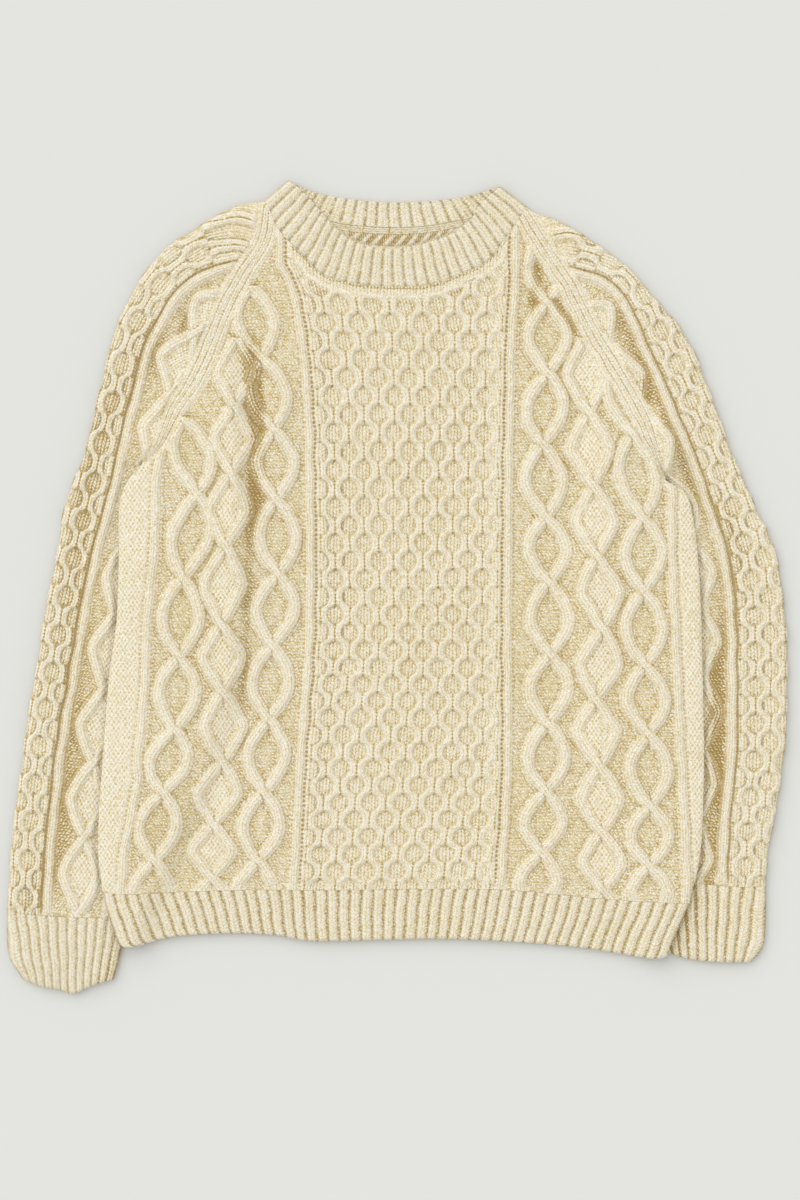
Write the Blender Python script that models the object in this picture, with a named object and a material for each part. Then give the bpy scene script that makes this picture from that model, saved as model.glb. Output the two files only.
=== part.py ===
"""A hand-knitted cable sweater with raglan sleeves, laid flat with its front up.

Both sleeves are bent down along the body, and their inner parts lie beneath its sides. The knitting is
worked in pieces: front, back, two sleeves, a neckband, and ribbing at the hem and the cuffs.
Tables, widths and heights are in millimetres, x to the right, y towards the neck and z up from the table.
The meshes are written in metres.
"""

import bpy
import numpy as np
from mathutils import Vector
from mathutils.geometry import delaunay_2d_cdt

MM = 0.001

# ---------------------------------------------------------------- driving dimensions

WALL = 3.0  # plain knitted fabric
LOWER_TOP = 4.8  # what lies on the table: one layer of knitting with its cables pressed flat
UPPER_FOOT = 5.2  # underside of the layer on top of it
MIDDLE = 5.0  # between the two layers, where a fold closes
SEAM_GAP = 0.22  # each piece stands back from a seam by this much
EDGE = 0.8  # thickness at the very edge of a rolled fold
FOLD_ROUND = 11.0  # how far in from a fold its edge still rounds off
LIFT = 8.8  # the body rides this high where a sleeve lies beneath it
LIFT_SLOPE = 27.0  # width of the slope down from there to the table

ROPE_HALF = 6.3  # a four-stitch cable rope
ROPE_HIGH = 4.2
RIB_ROPE_HALF = 4.8  # the slim ropes that border the panels
RIB_ROPE_HIGH = 3.6
MOSS_HIGH = 1.0
CORNER = 0.985  # how nearly a diamond's corner is a point
SWING_WAVE = 17.5  # how far the ropes of a wave cable part from their middle
SWING_DIAMOND = 17.4
COMB_HALF = 4.4  # honeycomb ropes
COMB_HIGH = 3.8
COMB_SHIFT = 0.25  # of one rope's spacing
COMB_MARGIN = 9.6  # from the border rope to the first honeycomb rope's edge
COMB_ROPES = 12
SLEEVE_COMB_ROPES = 8
SLEEVE_COMB_MARGIN = 8.0
RIB_HIGH = 1.7
RAGLAN_LINES = (3.0, 8.0, 13.0)  # decrease lines beside each raglan seam
RAGLAN_HIGH = 1.2
RAGLAN_LINE_HALF = 2.4
HEM_RIBS = 50
CUFF_RIBS = 10
BAND_FRONT_RIBS = 31
BAND_BACK_RIBS = 22
BAND_END_SHARE = 0.006  # of its length, where the flattened neckband rounds down to its fold
BAND_END_THICK = 1.4

# How close the meshes' points are: along the curves of the outlines, over the knitting and over plain faces.
CURVE_STEP = 13.0
SHORT_CURVE_STEP = 9.0
MEASURE_STEP = 6.0
CABLE_STEP = 9.4
BORDER_STEP = 10.5
FIELD_STEP = 22.0
PLAIN_STEP = 60.0
SLEEVE_PLAIN_STEP = 44.0
CUFF_PLAIN_STEP = 30.0
WORKED_APART = 4.3
RIBS_APART = 3.1
RIM_MARGIN = 1.2  # no inner point lies closer to an outline than this

# ---------------------------------------------------------------- seams and folds, each from the neck down

RAGLAN_LEFT = ((-120, 357), (-125, 326), (-145, 293), (-162, 261), (-173, 233), (-190, 196), (-210, 164),
               (-222, 135), (-240, 115))
RAGLAN_RIGHT = ((118, 351), (140, 315), (162, 281), (183, 240), (205, 203), (227, 164), (243, 125), (252, 100))
SIDE_LEFT = ((-240, 115), (-256, 93), (-261, 65), (-261, 25), (-263, -31), (-270, -84), (-274, -134),
             (-277, -175), (-280, -222), (-280, -253), (-276, -286))
SIDE_RIGHT = ((252, 100), (271, 87), (278, 62), (282, 30), (285, -17), (286, -51), (287, -101), (288, -151),
              (287, -206), (284, -253), (274, -297))
HEM_END_LEFT = ((-276, -286), (-271, -307), (-261, -334), (-255, -339))
HEM_END_RIGHT = ((274, -297), (266, -315), (259, -331), (252, -348))
HEM_SEAM = ((-276, -286), (-249, -288), (-150, -285), (-60, -285), (82, -284), (151, -289), (191, -293),
            (254, -296), (274, -297))
HEM_EDGE = ((-255, -339), (-239, -336), (-210, -329), (-170, -326), (-140, -326), (-111, -328), (-80, -333),
            (-11, -332), (42, -331), (112, -334), (171, -339), (230, -348), (252, -348))

NECK_FRONT = ((-120, 357), (-117, 347), (-109, 333), (-88, 311), (-69, 293), (-39, 285), (-2, 282), (31, 284),
              (53, 291), (85, 306), (102, 328), (118, 351))
NECK_BACK = ((-120, 357), (-91, 345), (-54, 336), (-25, 333), (3, 332), (31, 334), (59, 339), (92, 346),
             (118, 351))
BAND_END_LEFT = ((-125, 363), (-102, 383))
BAND_END_RIGHT = ((122, 358), (97, 377))
BAND_EDGE_FRONT = ((-102, 383), (-87, 371), (-70, 352), (-52, 333), (-34, 323), (-12, 319), (9, 320), (31, 325),
                   (52, 333), (70, 347), (78, 360), (97, 377))
BAND_EDGE_BACK = ((-102, 383), (-87, 375), (-68, 369), (-35, 364), (3, 362), (50, 365), (75, 370), (97, 377))

SLEEVE_OUT_LEFT = ((-125, 363), (-147, 360), (-170, 350), (-192, 337), (-218, 320), (-235, 300), (-248, 281),
                   (-258, 261), (-268, 238), (-274, 213), (-280, 188), (-286, 164), (-293, 132), (-304, 103),
                   (-314, 75), (-320, 39), (-326, 8), (-333, -25), (-339, -68), (-348, -118), (-353, -160),
                   (-358, -191), (-362, -222), (-366, -269), (-367, -302))
SLEEVE_OUT_RIGHT = ((122, 358), (131, 352), (149, 346), (177, 331), (209, 309), (231, 287), (250, 265),
                    (266, 246), (280, 223), (291, 195), (303, 164), (314, 132), (328, 100), (340, 71), (349, 55),
                    (359, 25), (365, -17), (368, -51), (368, -118), (366, -151), (362, -182), (357, -214),
                    (352, -238), (349, -260), (347, -281))
SLEEVE_IN_LEFT = ((-240, 115), (-204, 108), (-174, 91), (-161, 58), (-160, 16), (-166, -50), (-181, -125),
                  (-206, -200), (-232, -261), (-253, -308))
SLEEVE_IN_RIGHT = ((252, 100), (219, 91), (196, 70), (189, 39), (187, -12), (189, -69), (196, -144),
                   (212, -214), (228, -257), (236, -275))
CUFF_SEAM_LEFT = ((-367, -302), (-354, -307), (-315, -310), (-274, -311), (-253, -308))
CUFF_SEAM_RIGHT = ((347, -281), (322, -282), (284, -279), (236, -275))
CUFF_OUT_LEFT = ((-367, -302), (-367, -331), (-364, -350), (-352, -369))
CUFF_OUT_RIGHT = ((347, -281), (347, -300), (346, -330), (342, -343), (333, -353))
CUFF_EDGE_LEFT = ((-352, -369), (-335, -376), (-316, -379), (-305, -383), (-289, -376), (-267, -369))
CUFF_EDGE_RIGHT = ((333, -353), (300, -353), (275, -350), (251, -343))
CUFF_IN_LEFT = ((-253, -308), (-259, -337), (-263, -355), (-267, -369))
CUFF_IN_RIGHT = ((236, -275), (242, -313), (251, -343))

# Where the body starts to slope down from the sleeve beneath it. Above the underarm it is only a drape.
LIFT_LINE_LEFT = ((-176, 260), (-165, 190), (-158, 120), (-152, 80), (-154, 20), (-158, -50), (-174, -125),
                  (-199, -200), (-225, -261), (-246, -308), (-255, -360))
LIFT_LINE_RIGHT = ((206, 260), (199, 190), (190, 120), (184, 70), (180, 20), (180, -50), (188, -144),
                   (204, -214), (222, -265), (238, -313), (246, -360))
HEM_TOP = -292.0  # the cables end here, above the ribbing
DRAPE_TOP = 240.0  # the drape starts here and is full at the underarm
DRAPE_FULL = 118.0
UNDER_BODY = 4.0  # the sleeve's stitches go on this far beneath the body's edge
BARE_FADE = 7.0  # and rise to their full height this far outside it
SWELL_REACH = 48.0  # how far the sleeve's rise towards the raglan spreads
SWELL_FOOT = 14.0

# ---------------------------------------------------------------- what is knitted into the front and sleeves

# The two slim ropes on each side of the front: their middles, a row for each height.
BORDERS = {
    "inner_left": ((-110, 303), (-98, 279), (-89, 232), (-83, 166), (-82, 101), (-82, -31), (-85, -97),
                   (-90, -163), (-97, -275), (-99, -290)),
    "inner_right": ((111, 307), (111, 279), (108, 232), (106, 166), (104, 101), (104, -31), (104, -163),
                    (97, -275), (96, -290)),
    "outer_left": ((-218, 138), (-225, 101), (-227, 35), (-234, -31), (-237, -97), (-243, -163), (-243, -187),
                   (-255, -249), (-258, -290)),
    "outer_right": ((254, 110), (258, 86), (258, 39), (261, -39), (265, -140), (272, -265), (273, -290)),
}
# Each cable by its crossings, from the top: (x, y). A sharp one turns at a corner, as a diamond does.
CABLES = (
    {"swing": SWING_WAVE, "sharp": 0.0,
     "crossings": ((-127, 216), (-116, 149), (-114, 83), (-112, 12), (-117, -55), (-120, -124), (-125, -192),
                   (-131, -257))},
    {"swing": SWING_WAVE, "sharp": 0.0,
     "crossings": ((141, 267), (142, 201), (137, 135), (140, 66), (142, 5), (144, -64), (142, -128), (140, -192),
                   (135, -249))},
    {"swing": SWING_DIAMOND, "sharp": 0.75,
     "crossings": ((-153, 171), (-156, 107), (-161, 38), (-164, -35), (-163, -97), (-164, -164), (-173, -223),
                   (-174, -274))},
    {"swing": SWING_DIAMOND, "sharp": 0.75,
     "crossings": ((180, 164), (184, 95), (187, 29), (192, -38), (186, -106), (190, -168), (192, -230),
                   (194, -285))},
    {"swing": SWING_WAVE, "sharp": 0.0,
     "crossings": ((-187, 87), (-200, 9), (-204, -65), (-209, -133), (-220, -193), (-227, -256))},
    {"swing": SWING_WAVE, "sharp": 0.0,
     "crossings": ((220, 143), (231, 65), (231, -3), (232, -73), (235, -138), (237, -206), (237, -261))},
)
# Honeycomb rows of the front: the height of row 0, and of rows further down.
COMB_ROWS = ((0, 282.0), (13, 57.6), (20, -60.0), (34, -283.0))

# The slim rope down each sleeve, from the raglan to the cuff, and the diamond beside it.
SLEEVE_ROPE_LEFT = ((-152, 301), (-172, 296), (-199, 279), (-219, 252), (-235, 221), (-243, 188), (-251, 158),
                    (-258, 125), (-266, 88), (-279, 42), (-291, -8), (-299, -51), (-307, -101), (-315, -151),
                    (-321, -206), (-325, -238), (-328, -276), (-330, -306))
SLEEVE_ROPE_RIGHT = ((158, 297), (185, 290), (203, 279), (217, 258), (230, 228), (245, 196), (258, 164),
                     (272, 132), (285, 96), (298, 58), (308, 22), (313, -17), (315, -60), (315, -151),
                     (311, -190), (307, -230), (305, -277))
SLEEVE_DIAMOND_SIDE = 31.0  # from the slim rope to the middle of the diamond
SLEEVE_DIAMOND_SWING = 17.0
SLEEVE_DIAMOND_SHARP = 0.7
# Each sleeve's patterns, by how far they are along its slim rope: where one diamond is widest, how long a
# diamond is, how far apart the honeycomb's ropes are, and its rows as (along, row).
SLEEVE_PATTERN = {
    "left": {"widest": 119.0, "diamond": 71.6, "spacing": 12.8,
             "rows": ((8, -5), (119, 1), (195, 5), (273, 9), (344, 13), (416, 17), (487, 21), (557, 25),
                      (663, 31))},
    "right": {"widest": 129.0, "diamond": 68.0, "spacing": 14.0,
              "rows": ((0, -4), (85, 1), (156, 5), (227, 9), (297, 13), (363, 17), (428, 21), (496, 25),
                       (562, 29), (630, 33))},
}

# Soft folds over the knitting: where each runs, how wide and how high it is.
FOLDS = (
    {"start": (-206, 292), "end": (-212, 250), "half_width": 7.0, "height": 3.0},
    {"start": (-196, 268), "end": (-204, 222), "half_width": 6.0, "height": -1.6},
    {"start": (-176, 262), "end": (-188, 226), "half_width": 6.0, "height": 2.4},
    {"start": (246, 176), "end": (262, 104), "half_width": 8.0, "height": 3.2},
    {"start": (298, 10), "end": (303, -246), "half_width": 6.0, "height": -1.8},
    {"start": (117, 322), "end": (124, 296), "half_width": 5.0, "height": 2.4},
    {"start": (-92, -278), "end": (-89, -325), "half_width": 4.0, "height": 1.6},
)


# ---------------------------------------------------------------- curves


def smooth(points, step):
    """The points of a Catmull-Rom curve through a table, about step apart, with both its ends."""
    points = np.array(points, float)
    ends = np.vstack([2 * points[0] - points[1], points, 2 * points[-1] - points[-2]])
    dense = []
    for i in range(1, len(ends) - 2):
        before, a, b, after = ends[i - 1:i + 3]
        t = np.linspace(0, 1, 24, endpoint=False)[:, None]
        out = a + 0.5 * t * ((b - before) + t * ((2 * before - 5 * a + 4 * b - after)
                                                 + t * (3 * (a - b) + after - before)))
        dense.append(out)
    dense = np.vstack(dense + [points[-1:]])
    return spaced(dense, step)


def spaced(points, step):
    """The same line with its points an equal step apart."""
    points = np.array(points, float)
    run = np.concatenate([[0], np.cumsum(np.linalg.norm(np.diff(points, axis=0), axis=1))])
    count = max(1, round(run[-1] / step))
    at = np.linspace(0, run[-1], count + 1)
    return np.column_stack([np.interp(at, run, points[:, 0]), np.interp(at, run, points[:, 1])])


def across(table):
    """A function of y that gives the x of a line which runs from top to bottom."""
    line = smooth(table, 3.0)[::-1]
    return lambda y: np.interp(y, line[:, 1], line[:, 0])


def project(points, line):
    """How far along a line the points lie, and how far off it: positive on its right, looking along it."""
    points = np.asarray(points, float)
    start, step = line[:-1], np.diff(line, axis=0)
    length = np.linalg.norm(step, axis=1)
    run = np.concatenate([[0], np.cumsum(length)])
    to = points[:, None, :] - start[None]
    t = np.clip((to * step).sum(2) / length**2, 0, 1)
    foot = start + t[..., None] * step
    apart = np.linalg.norm(points[:, None, :] - foot, axis=2)
    near = apart.argmin(axis=1)
    each = np.arange(len(points))
    side = step[near, 1] * to[each, near, 0] - step[near, 0] * to[each, near, 1]
    return run[near] + t[each, near] * length[near], apart[each, near] * np.where(side < 0, -1, 1)


def beside(line, along, off):
    """The points at these distances along a line and off to its right."""
    run = np.concatenate([[0], np.cumsum(np.linalg.norm(np.diff(line, axis=0), axis=1))])
    point = np.column_stack([np.interp(along, run, line[:, 0]), np.interp(along, run, line[:, 1])])
    slope = np.gradient(line, run, axis=0)
    way = np.column_stack([np.interp(along, run, slope[:, 0]), np.interp(along, run, slope[:, 1])])
    way /= np.linalg.norm(way, axis=1)[:, None]
    right = np.column_stack([way[:, 1], -way[:, 0]])
    return point + right * np.asarray(off)[:, None]


def ease(x):
    """0 below 0, 1 above 1, and smooth between."""
    x = np.clip(x, 0, 1)
    return x * x * (3 - 2 * x)


def dome(d, half):
    """A round back, 1 in the middle and 0 beyond half."""
    return np.sqrt(np.clip(1 - (d / half) ** 2, 0, 1))


# ---------------------------------------------------------------- the knitting's relief


def swung(wave, sharp):
    """A sine drawn towards a zigzag by how sharp its corners are."""
    corner = np.arcsin(CORNER * wave) / np.arcsin(CORNER)
    return sharp * corner + (1 - sharp) * wave


class Cable:
    """Two ropes that cross at each row of a table and swing apart between."""

    def __init__(self, crossings, swing, sharp):
        rows = np.array(crossings, float)
        top = 2 * rows[0] - rows[1]
        foot = 2 * rows[-1] - rows[-2]
        rows = np.vstack([top, rows, foot])
        self.middle = across(rows)
        self.rows = rows[::-1, 1]
        self.turns = np.arange(len(rows))[::-1]
        self.reach, self.sharp = swing, sharp

    def swing(self, y):
        phase = np.interp(y, self.rows, self.turns)
        return self.reach * swung(np.sin(np.pi * phase), self.sharp)

    def ropes(self, y):
        """Each rope's x, and the sine of its lean."""
        for side in (-1, 1):
            x = self.middle(y) + side * self.swing(y)
            lean = (self.middle(y + 1) + side * self.swing(y + 1) - x)
            yield x, lean

    def relief(self, x, y):
        high = np.where(np.abs(x - self.middle(y)) < np.abs(self.swing(y)), MOSS_HIGH * self.sharp, 0)
        near = 1 - np.clip(np.abs(self.swing(y)) / ROPE_HALF, 0, 1)
        for rope, lean in self.ropes(y):
            d = (x - rope) / np.sqrt(1 + lean**2)
            over = np.where(lean < 0, 0.9, -1.1) * near
            high = np.maximum(high, (ROPE_HIGH + over) * dome(d, ROPE_HALF))
        return high

    def points(self, step):
        """Points along both ropes' backs and edges, those of the backs first."""
        y = np.arange(self.rows[0], self.rows[-1], step)
        backs, edges = [], []
        for rope, lean in self.ropes(y):
            backs.append(np.column_stack([rope, y]))
            for side in (-1, 1):
                edges.append(np.column_stack([rope + side * ROPE_HALF * np.sqrt(1 + lean**2), y]))
        return np.vstack(backs + edges)


LINES = {name: across(table) for name, table in BORDERS.items()}
FRONT_CABLES = [Cable(**cable) for cable in CABLES]


def comb_row(y):
    rows = np.array(COMB_ROWS)[::-1]
    return np.interp(y, rows[:, 1], rows[:, 0])


def comb(across_ropes, row, spacing, count):
    """Honeycomb: ropes that lean on one neighbour in even rows and on the other in odd rows."""
    lean = COMB_SHIFT * np.cos(np.pi * row) * (1.35 - 0.35 * np.cos(np.pi * row) ** 2)
    high = np.zeros_like(across_ropes)
    nearest = np.floor(across_ropes)
    for k in (-1, 0, 1):
        rope = nearest + k
        middle = rope + 0.5 + np.where(rope % 2 == 0, -1, 1) * lean
        real = (rope >= 0) & (rope < count)
        high = np.maximum(high, real * dome((across_ropes - middle) * spacing, COMB_HALF))
    return COMB_HIGH * high


def fold_relief(x, y):
    high = np.zeros_like(x)
    for fold in FOLDS:
        line = np.array([fold["start"], fold["end"]], float)
        length = np.linalg.norm(line[1] - line[0])
        along, off = project(np.column_stack([x, y]), line)
        fade = ease(along / (0.35 * length)) * ease((length - along) / (0.35 * length))
        high += fold["height"] * fade * np.exp(-(off / fold["half_width"]) ** 2)
    return high


def raglan_relief(x, y, seam):
    _, off = project(np.column_stack([x, y]), smooth(seam, 8.0))
    high = np.zeros_like(x)
    for line in RAGLAN_LINES:
        high = np.maximum(high, RAGLAN_HIGH * dome(np.abs(off) - line, RAGLAN_LINE_HALF))
    return high, ease((np.abs(off) - 12) / 5)


def front_relief(x, y):
    """Height of the front's stitches above plain fabric."""
    left, right = LINES["inner_left"](y), LINES["inner_right"](y)
    high = np.zeros_like(x)
    for cable in FRONT_CABLES:
        high = np.maximum(high, cable.relief(x, y))
    width = right - left - 2 * COMB_MARGIN
    spacing = width / COMB_ROPES
    ropes_over = (x - left - COMB_MARGIN) / spacing
    inside = (ropes_over > 0) & (ropes_over < COMB_ROPES)
    high = np.where(inside, np.maximum(high, comb(ropes_over, comb_row(y), spacing, COMB_ROPES)), high)
    for line in LINES.values():
        high = np.maximum(high, RIB_ROPE_HIGH * dome(x - line(y), RIB_ROPE_HALF))
    beyond = (x < LINES["outer_left"](y) - 7) | (x > LINES["outer_right"](y) + 7)
    high = np.where(beyond, MOSS_HIGH, high)
    for seam in (RAGLAN_LEFT, RAGLAN_RIGHT):
        lines, clear = raglan_relief(x, y, seam)
        high = np.maximum(high * clear, lines)
    return high + fold_relief(x, y)


def sleeve_swing(along, side):
    """How far the ropes of a sleeve's diamonds are from their middle."""
    pattern = SLEEVE_PATTERN[side]
    wave = np.cos(np.pi * (along - pattern["widest"]) / pattern["diamond"])
    return SLEEVE_DIAMOND_SWING * swung(wave, SLEEVE_DIAMOND_SHARP)


def sleeve_relief(x, y, rope, side, seam):
    """The same for a sleeve, measured along and off its slim rope."""
    along, off = project(np.column_stack([x, y]), smooth(rope, MEASURE_STEP))
    off = off if side == "left" else -off
    high = RIB_ROPE_HIGH * dome(off, RIB_ROPE_HALF)
    rows, spacing = np.array(SLEEVE_PATTERN[side]["rows"]), SLEEVE_PATTERN[side]["spacing"]
    row = np.interp(along, rows[:, 0], rows[:, 1])
    ropes_over = (off - SLEEVE_COMB_MARGIN) / spacing
    high = np.where(ropes_over > 0, comb(ropes_over, row, spacing, SLEEVE_COMB_ROPES), high)
    swing = sleeve_swing(along, side)
    for way in (-1, 1):
        lean = np.sqrt(1 + (sleeve_swing(along + 1, side) - swing) ** 2)
        d = (off + SLEEVE_DIAMOND_SIDE + way * swing) / lean
        high = np.maximum(high, ROPE_HIGH * dome(d, ROPE_HALF))
    moss = np.abs(off + SLEEVE_DIAMOND_SIDE) < np.abs(swing)
    high = np.maximum(high, MOSS_HIGH * moss)
    lines, clear = raglan_relief(x, y, seam)
    return np.maximum(high * clear, lines) + fold_relief(x, y)


def lift(x, y):
    """How far the body is raised off the table by the sleeves beneath its sides."""
    left = (across(LIFT_LINE_LEFT)(y) + LIFT_SLOPE - x) / LIFT_SLOPE
    right = (x - across(LIFT_LINE_RIGHT)(y) + LIFT_SLOPE) / LIFT_SLOPE
    drape = ease((DRAPE_TOP - y) / (DRAPE_TOP - DRAPE_FULL))
    return LIFT * drape * np.maximum(ease(left), ease(right))


# ---------------------------------------------------------------- outlines


def joined(*lines):
    """One closed outline from lines that follow each other end to end."""
    points = np.vstack([np.asarray(line)[:-1] for line in lines])
    return points


def area(outline):
    x, y = outline[:, 0], outline[:, 1]
    return 0.5 * np.sum(x * np.roll(y, -1) - np.roll(x, -1) * y)


def inset(outline, gap):
    """The outline moved inwards, each corner by its mitre."""
    turn = np.sign(area(outline))
    edge = np.roll(outline, -1, axis=0) - outline
    edge /= np.linalg.norm(edge, axis=1)[:, None]
    normal = np.column_stack([-edge[:, 1], edge[:, 0]]) * turn
    both = normal + np.roll(normal, 1, axis=0)
    mitre = both / np.maximum((both**2).sum(axis=1)[:, None] / 2, 0.35)
    return outline + mitre * np.asarray(gap).reshape(-1, 1)


def within(points, outline, margin):
    """Which points lie inside the outline, at least this far from it."""
    ring = np.vstack([outline, outline[:1]])
    x, y = points[:, 0][:, None], points[:, 1][:, None]
    x0, y0, x1, y1 = ring[:-1, 0], ring[:-1, 1], ring[1:, 0], ring[1:, 1]
    crosses = ((y0 > y) != (y1 > y)) & (x < (x1 - x0) * (y - y0) / np.where(y1 == y0, 1, y1 - y0) + x0)
    _, off = project(points, ring)
    return (crosses.sum(axis=1) % 2 == 1) & (np.abs(off) > margin)


def thinned(points, apart):
    """The points in order, without any that is too close to an earlier one."""
    kept, cells = [], {}
    for point in points:
        column, row = int(point[0] // apart), int(point[1] // apart)
        near = [p for i in (-1, 0, 1) for j in (-1, 0, 1) for p in cells.get((column + i, row + j), ())]
        if all((point[0] - p[0]) ** 2 + (point[1] - p[1]) ** 2 > apart**2 for p in near):
            kept.append(point)
            cells.setdefault((column, row), []).append(point)
    return np.array(kept)


def lattice(step):
    """A field of points that reaches past every piece."""
    x, y = np.meshgrid(np.arange(-400.0, 400.0, step), np.arange(-400.0, 400.0, step))
    x = x + np.where(np.arange(len(x)) % 2 == 0, 0, step / 2)[:, None]
    return np.column_stack([x.ravel(), y.ravel()])


def slope_points():
    """Points down both slopes of the lifted sides, shared by the two layers that meet there."""
    y = np.arange(-352.0, DRAPE_TOP, 26.0)
    found = []
    for line, inwards in ((LIFT_LINE_LEFT, 1), (LIFT_LINE_RIGHT, -1)):
        for part in (0.0, 0.3, 0.7, 1.0):
            found.append(np.column_stack([across(line)(y) + inwards * part * LIFT_SLOPE, y]))
    return np.vstack(found)


def plain_points(outline, step):
    """The few points inside a plain face, the same ones wherever two plain faces meet."""
    found = thinned(np.vstack([slope_points(), lattice(step)]), 12.0)
    return found[within(found, outline, 7.0)]


# ---------------------------------------------------------------- meshes


def triangles(outline, inner):
    """Triangles that fill an outline through the inner points, all turning left."""
    points = np.vstack([outline, inner]) if len(inner) else outline
    rim = list(range(len(outline)))
    found = delaunay_2d_cdt([Vector(p) for p in points], [], [rim], 1, 1e-4)
    first = [origin[0] for origin in found[3]]
    faces = np.array([[first[i] for i in face] for face in found[2]])
    a, b, c = (points[faces[:, i]] for i in range(3))
    turn = (b[:, 0] - a[:, 0]) * (c[:, 1] - a[:, 1]) - (b[:, 1] - a[:, 1]) * (c[:, 0] - a[:, 0])
    faces[turn < 0] = faces[turn < 0][:, ::-1]
    return points, faces


def lifted(points, height):
    return np.column_stack([points, height(points[:, 0], points[:, 1])])


def sheet(outline, inner, top, under, plain):
    """A closed wall over an outline: its worked face through the inner points, its plain face through a few."""
    upper, upper_faces = triangles(outline, inner)
    lower, lower_faces = triangles(outline, plain)
    count, rim = len(upper), len(outline)
    if area(outline) < 0:
        order = np.arange(rim)[::-1]
    else:
        order = np.arange(rim)
    i, j = order, np.roll(order, -1)
    strip = np.vstack([np.column_stack([i + count, j + count, j]), np.column_stack([i + count, j, i])])
    points = np.vstack([lifted(upper, top), lifted(lower, under)])
    faces = np.vstack([upper_faces, lower_faces[:, ::-1] + count, strip])
    return points, faces


def tube(outline, fold, inner, top, plain_step, wall):
    """A flattened tube: two layers that are one at the folds and open between them.

    fold says for each side of the outline whether it is a fold. At an open side the wall's edge shows.
    """
    if area(outline) < 0:
        outline, fold = outline[::-1], np.roll(fold[::-1], -1)
    at_fold = fold | np.roll(fold, 1)
    hollow = inset(outline, np.where(fold & np.roll(fold, 1), wall, 0.0))
    for i in np.flatnonzero(at_fold & ~(fold & np.roll(fold, 1))):
        along = outline[(i + 1) % len(outline)] if not fold[i] else outline[i - 1]
        way = (along - outline[i]) / np.linalg.norm(along - outline[i])
        hollow[i] = outline[i] + way * wall
    plain = lattice(plain_step)
    plain = plain[within(plain, hollow, plain_step * 0.3)]
    rim = len(outline)
    points, faces = [], []

    def layer(shape, extra, height, shared, turned):
        flat, made = triangles(shape, extra)
        count = sum(len(p) for p in points)
        index = np.arange(len(flat)) + count
        if shared is not None:
            index[:rim] = np.where(at_fold, shared[:rim], index[:rim])
        points.append(lifted(flat, height))
        faces.append(index[made[:, ::-1] if turned else made])
        return index

    outer_top = layer(outline, inner, top, None, False)
    points[0][:rim, 2] = np.where(at_fold, MIDDLE, points[0][:rim, 2])
    outer_foot = layer(outline, plain, foot_of(outline, fold), outer_top, True)
    inner_top = layer(hollow, plain[:0], lambda x, y: 0 * x + UPPER_FOOT, None, True)
    points[2][:rim, 2] = np.where(at_fold, MIDDLE, points[2][:rim, 2])
    inner_foot = layer(hollow, plain[:0], lambda x, y: 0 * x + LOWER_TOP, inner_top, False)
    ends = np.flatnonzero(~fold)
    i, j = ends, (ends + 1) % rim
    for outer, inside, turned in ((outer_top, inner_top, False), (outer_foot, inner_foot, True)):
        a, b, c, d = outer[i], outer[j], inside[j], inside[i]
        strip = np.vstack([np.column_stack([a, c, b]), np.column_stack([a, d, c])])
        faces.append(strip[:, ::-1] if turned else strip)
    return np.vstack(points), np.vstack(faces)


def foot_of(outline, fold):
    """The underside of a tube: flat on the table, rounded up to its folds."""
    return lambda x, y: MIDDLE * (1 - rounding(x, y, fold_lines(outline, fold)))


def fold_lines(outline, fold):
    ring = np.vstack([outline, outline[:1]])
    return [ring[i:i + 2] for i in np.flatnonzero(fold)]


def rounding(x, y, lines):
    """1 over a layer, down to 0 at its fold, along a round edge."""
    points = np.column_stack([x, y])
    segments = np.array(lines)
    start, step = segments[:, 0], segments[:, 1] - segments[:, 0]
    to = points[:, None, :] - start[None]
    t = np.clip((to * step).sum(2) / (step**2).sum(1), 0, 1)
    apart = np.linalg.norm(to - t[..., None] * step, axis=2).min(axis=1)
    inwards = np.clip(1 - apart / FOLD_ROUND, 0, 1)
    return np.sqrt(np.clip(1 - inwards**2, 0, 1))


def object_from(name, points, faces, colour, roughness):
    used, index = np.unique(faces, return_inverse=True)
    mesh = bpy.data.meshes.new(name)
    mesh.from_pydata((points[used] * MM).tolist(), [], index.reshape(faces.shape).tolist())
    mesh.update()
    made = bpy.data.objects.new(name, mesh)
    bpy.context.scene.collection.objects.link(made)
    wool = bpy.data.materials.new(name + "_wool")
    wool.use_nodes = True
    surface = wool.node_tree.nodes["Principled BSDF"]
    surface.inputs["Base Color"].default_value = (*colour, 1)
    surface.inputs["Roughness"].default_value = roughness
    surface.inputs["Metallic"].default_value = 0.0
    mesh.materials.append(wool)
    mesh.shade_smooth()
    mesh.set_sharp_from_angle(angle=np.radians(50))
    return made


# ---------------------------------------------------------------- the pieces

CREAM = (0.79, 0.70, 0.50)
CREAM_RIB = (0.76, 0.67, 0.47)
WOOL_ROUGH = 0.95


def curve(table, step=CURVE_STEP):
    return smooth(table, step)


def body_outline(neck, hem):
    """Round the front or back, from the left end of its neck down the left side."""
    neck = curve(neck, SHORT_CURVE_STEP)
    lines = (curve(RAGLAN_LEFT), curve(SIDE_LEFT), curve(hem), curve(SIDE_RIGHT)[::-1],
             curve(RAGLAN_RIGHT)[::-1], neck[::-1])
    return joined(*lines)


def side_folds():
    segments = []
    for table in (SIDE_LEFT, SIDE_RIGHT, HEM_END_LEFT, HEM_END_RIGHT):
        line = curve(table)
        segments += [line[i:i + 2] for i in range(len(line) - 1)]
    return segments


SIDES = side_folds()


def fold_points(outline, lines, distances=(1.5, 5.0)):
    """Points just inside the folds, so that the rounded edge has a form."""
    found = []
    for distance in distances:
        moved = inset(outline, distance)
        on_fold = rounding(outline[:, 0], outline[:, 1], lines) < 0.25
        found.append(moved[on_fold])
    return np.vstack(found)


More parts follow.
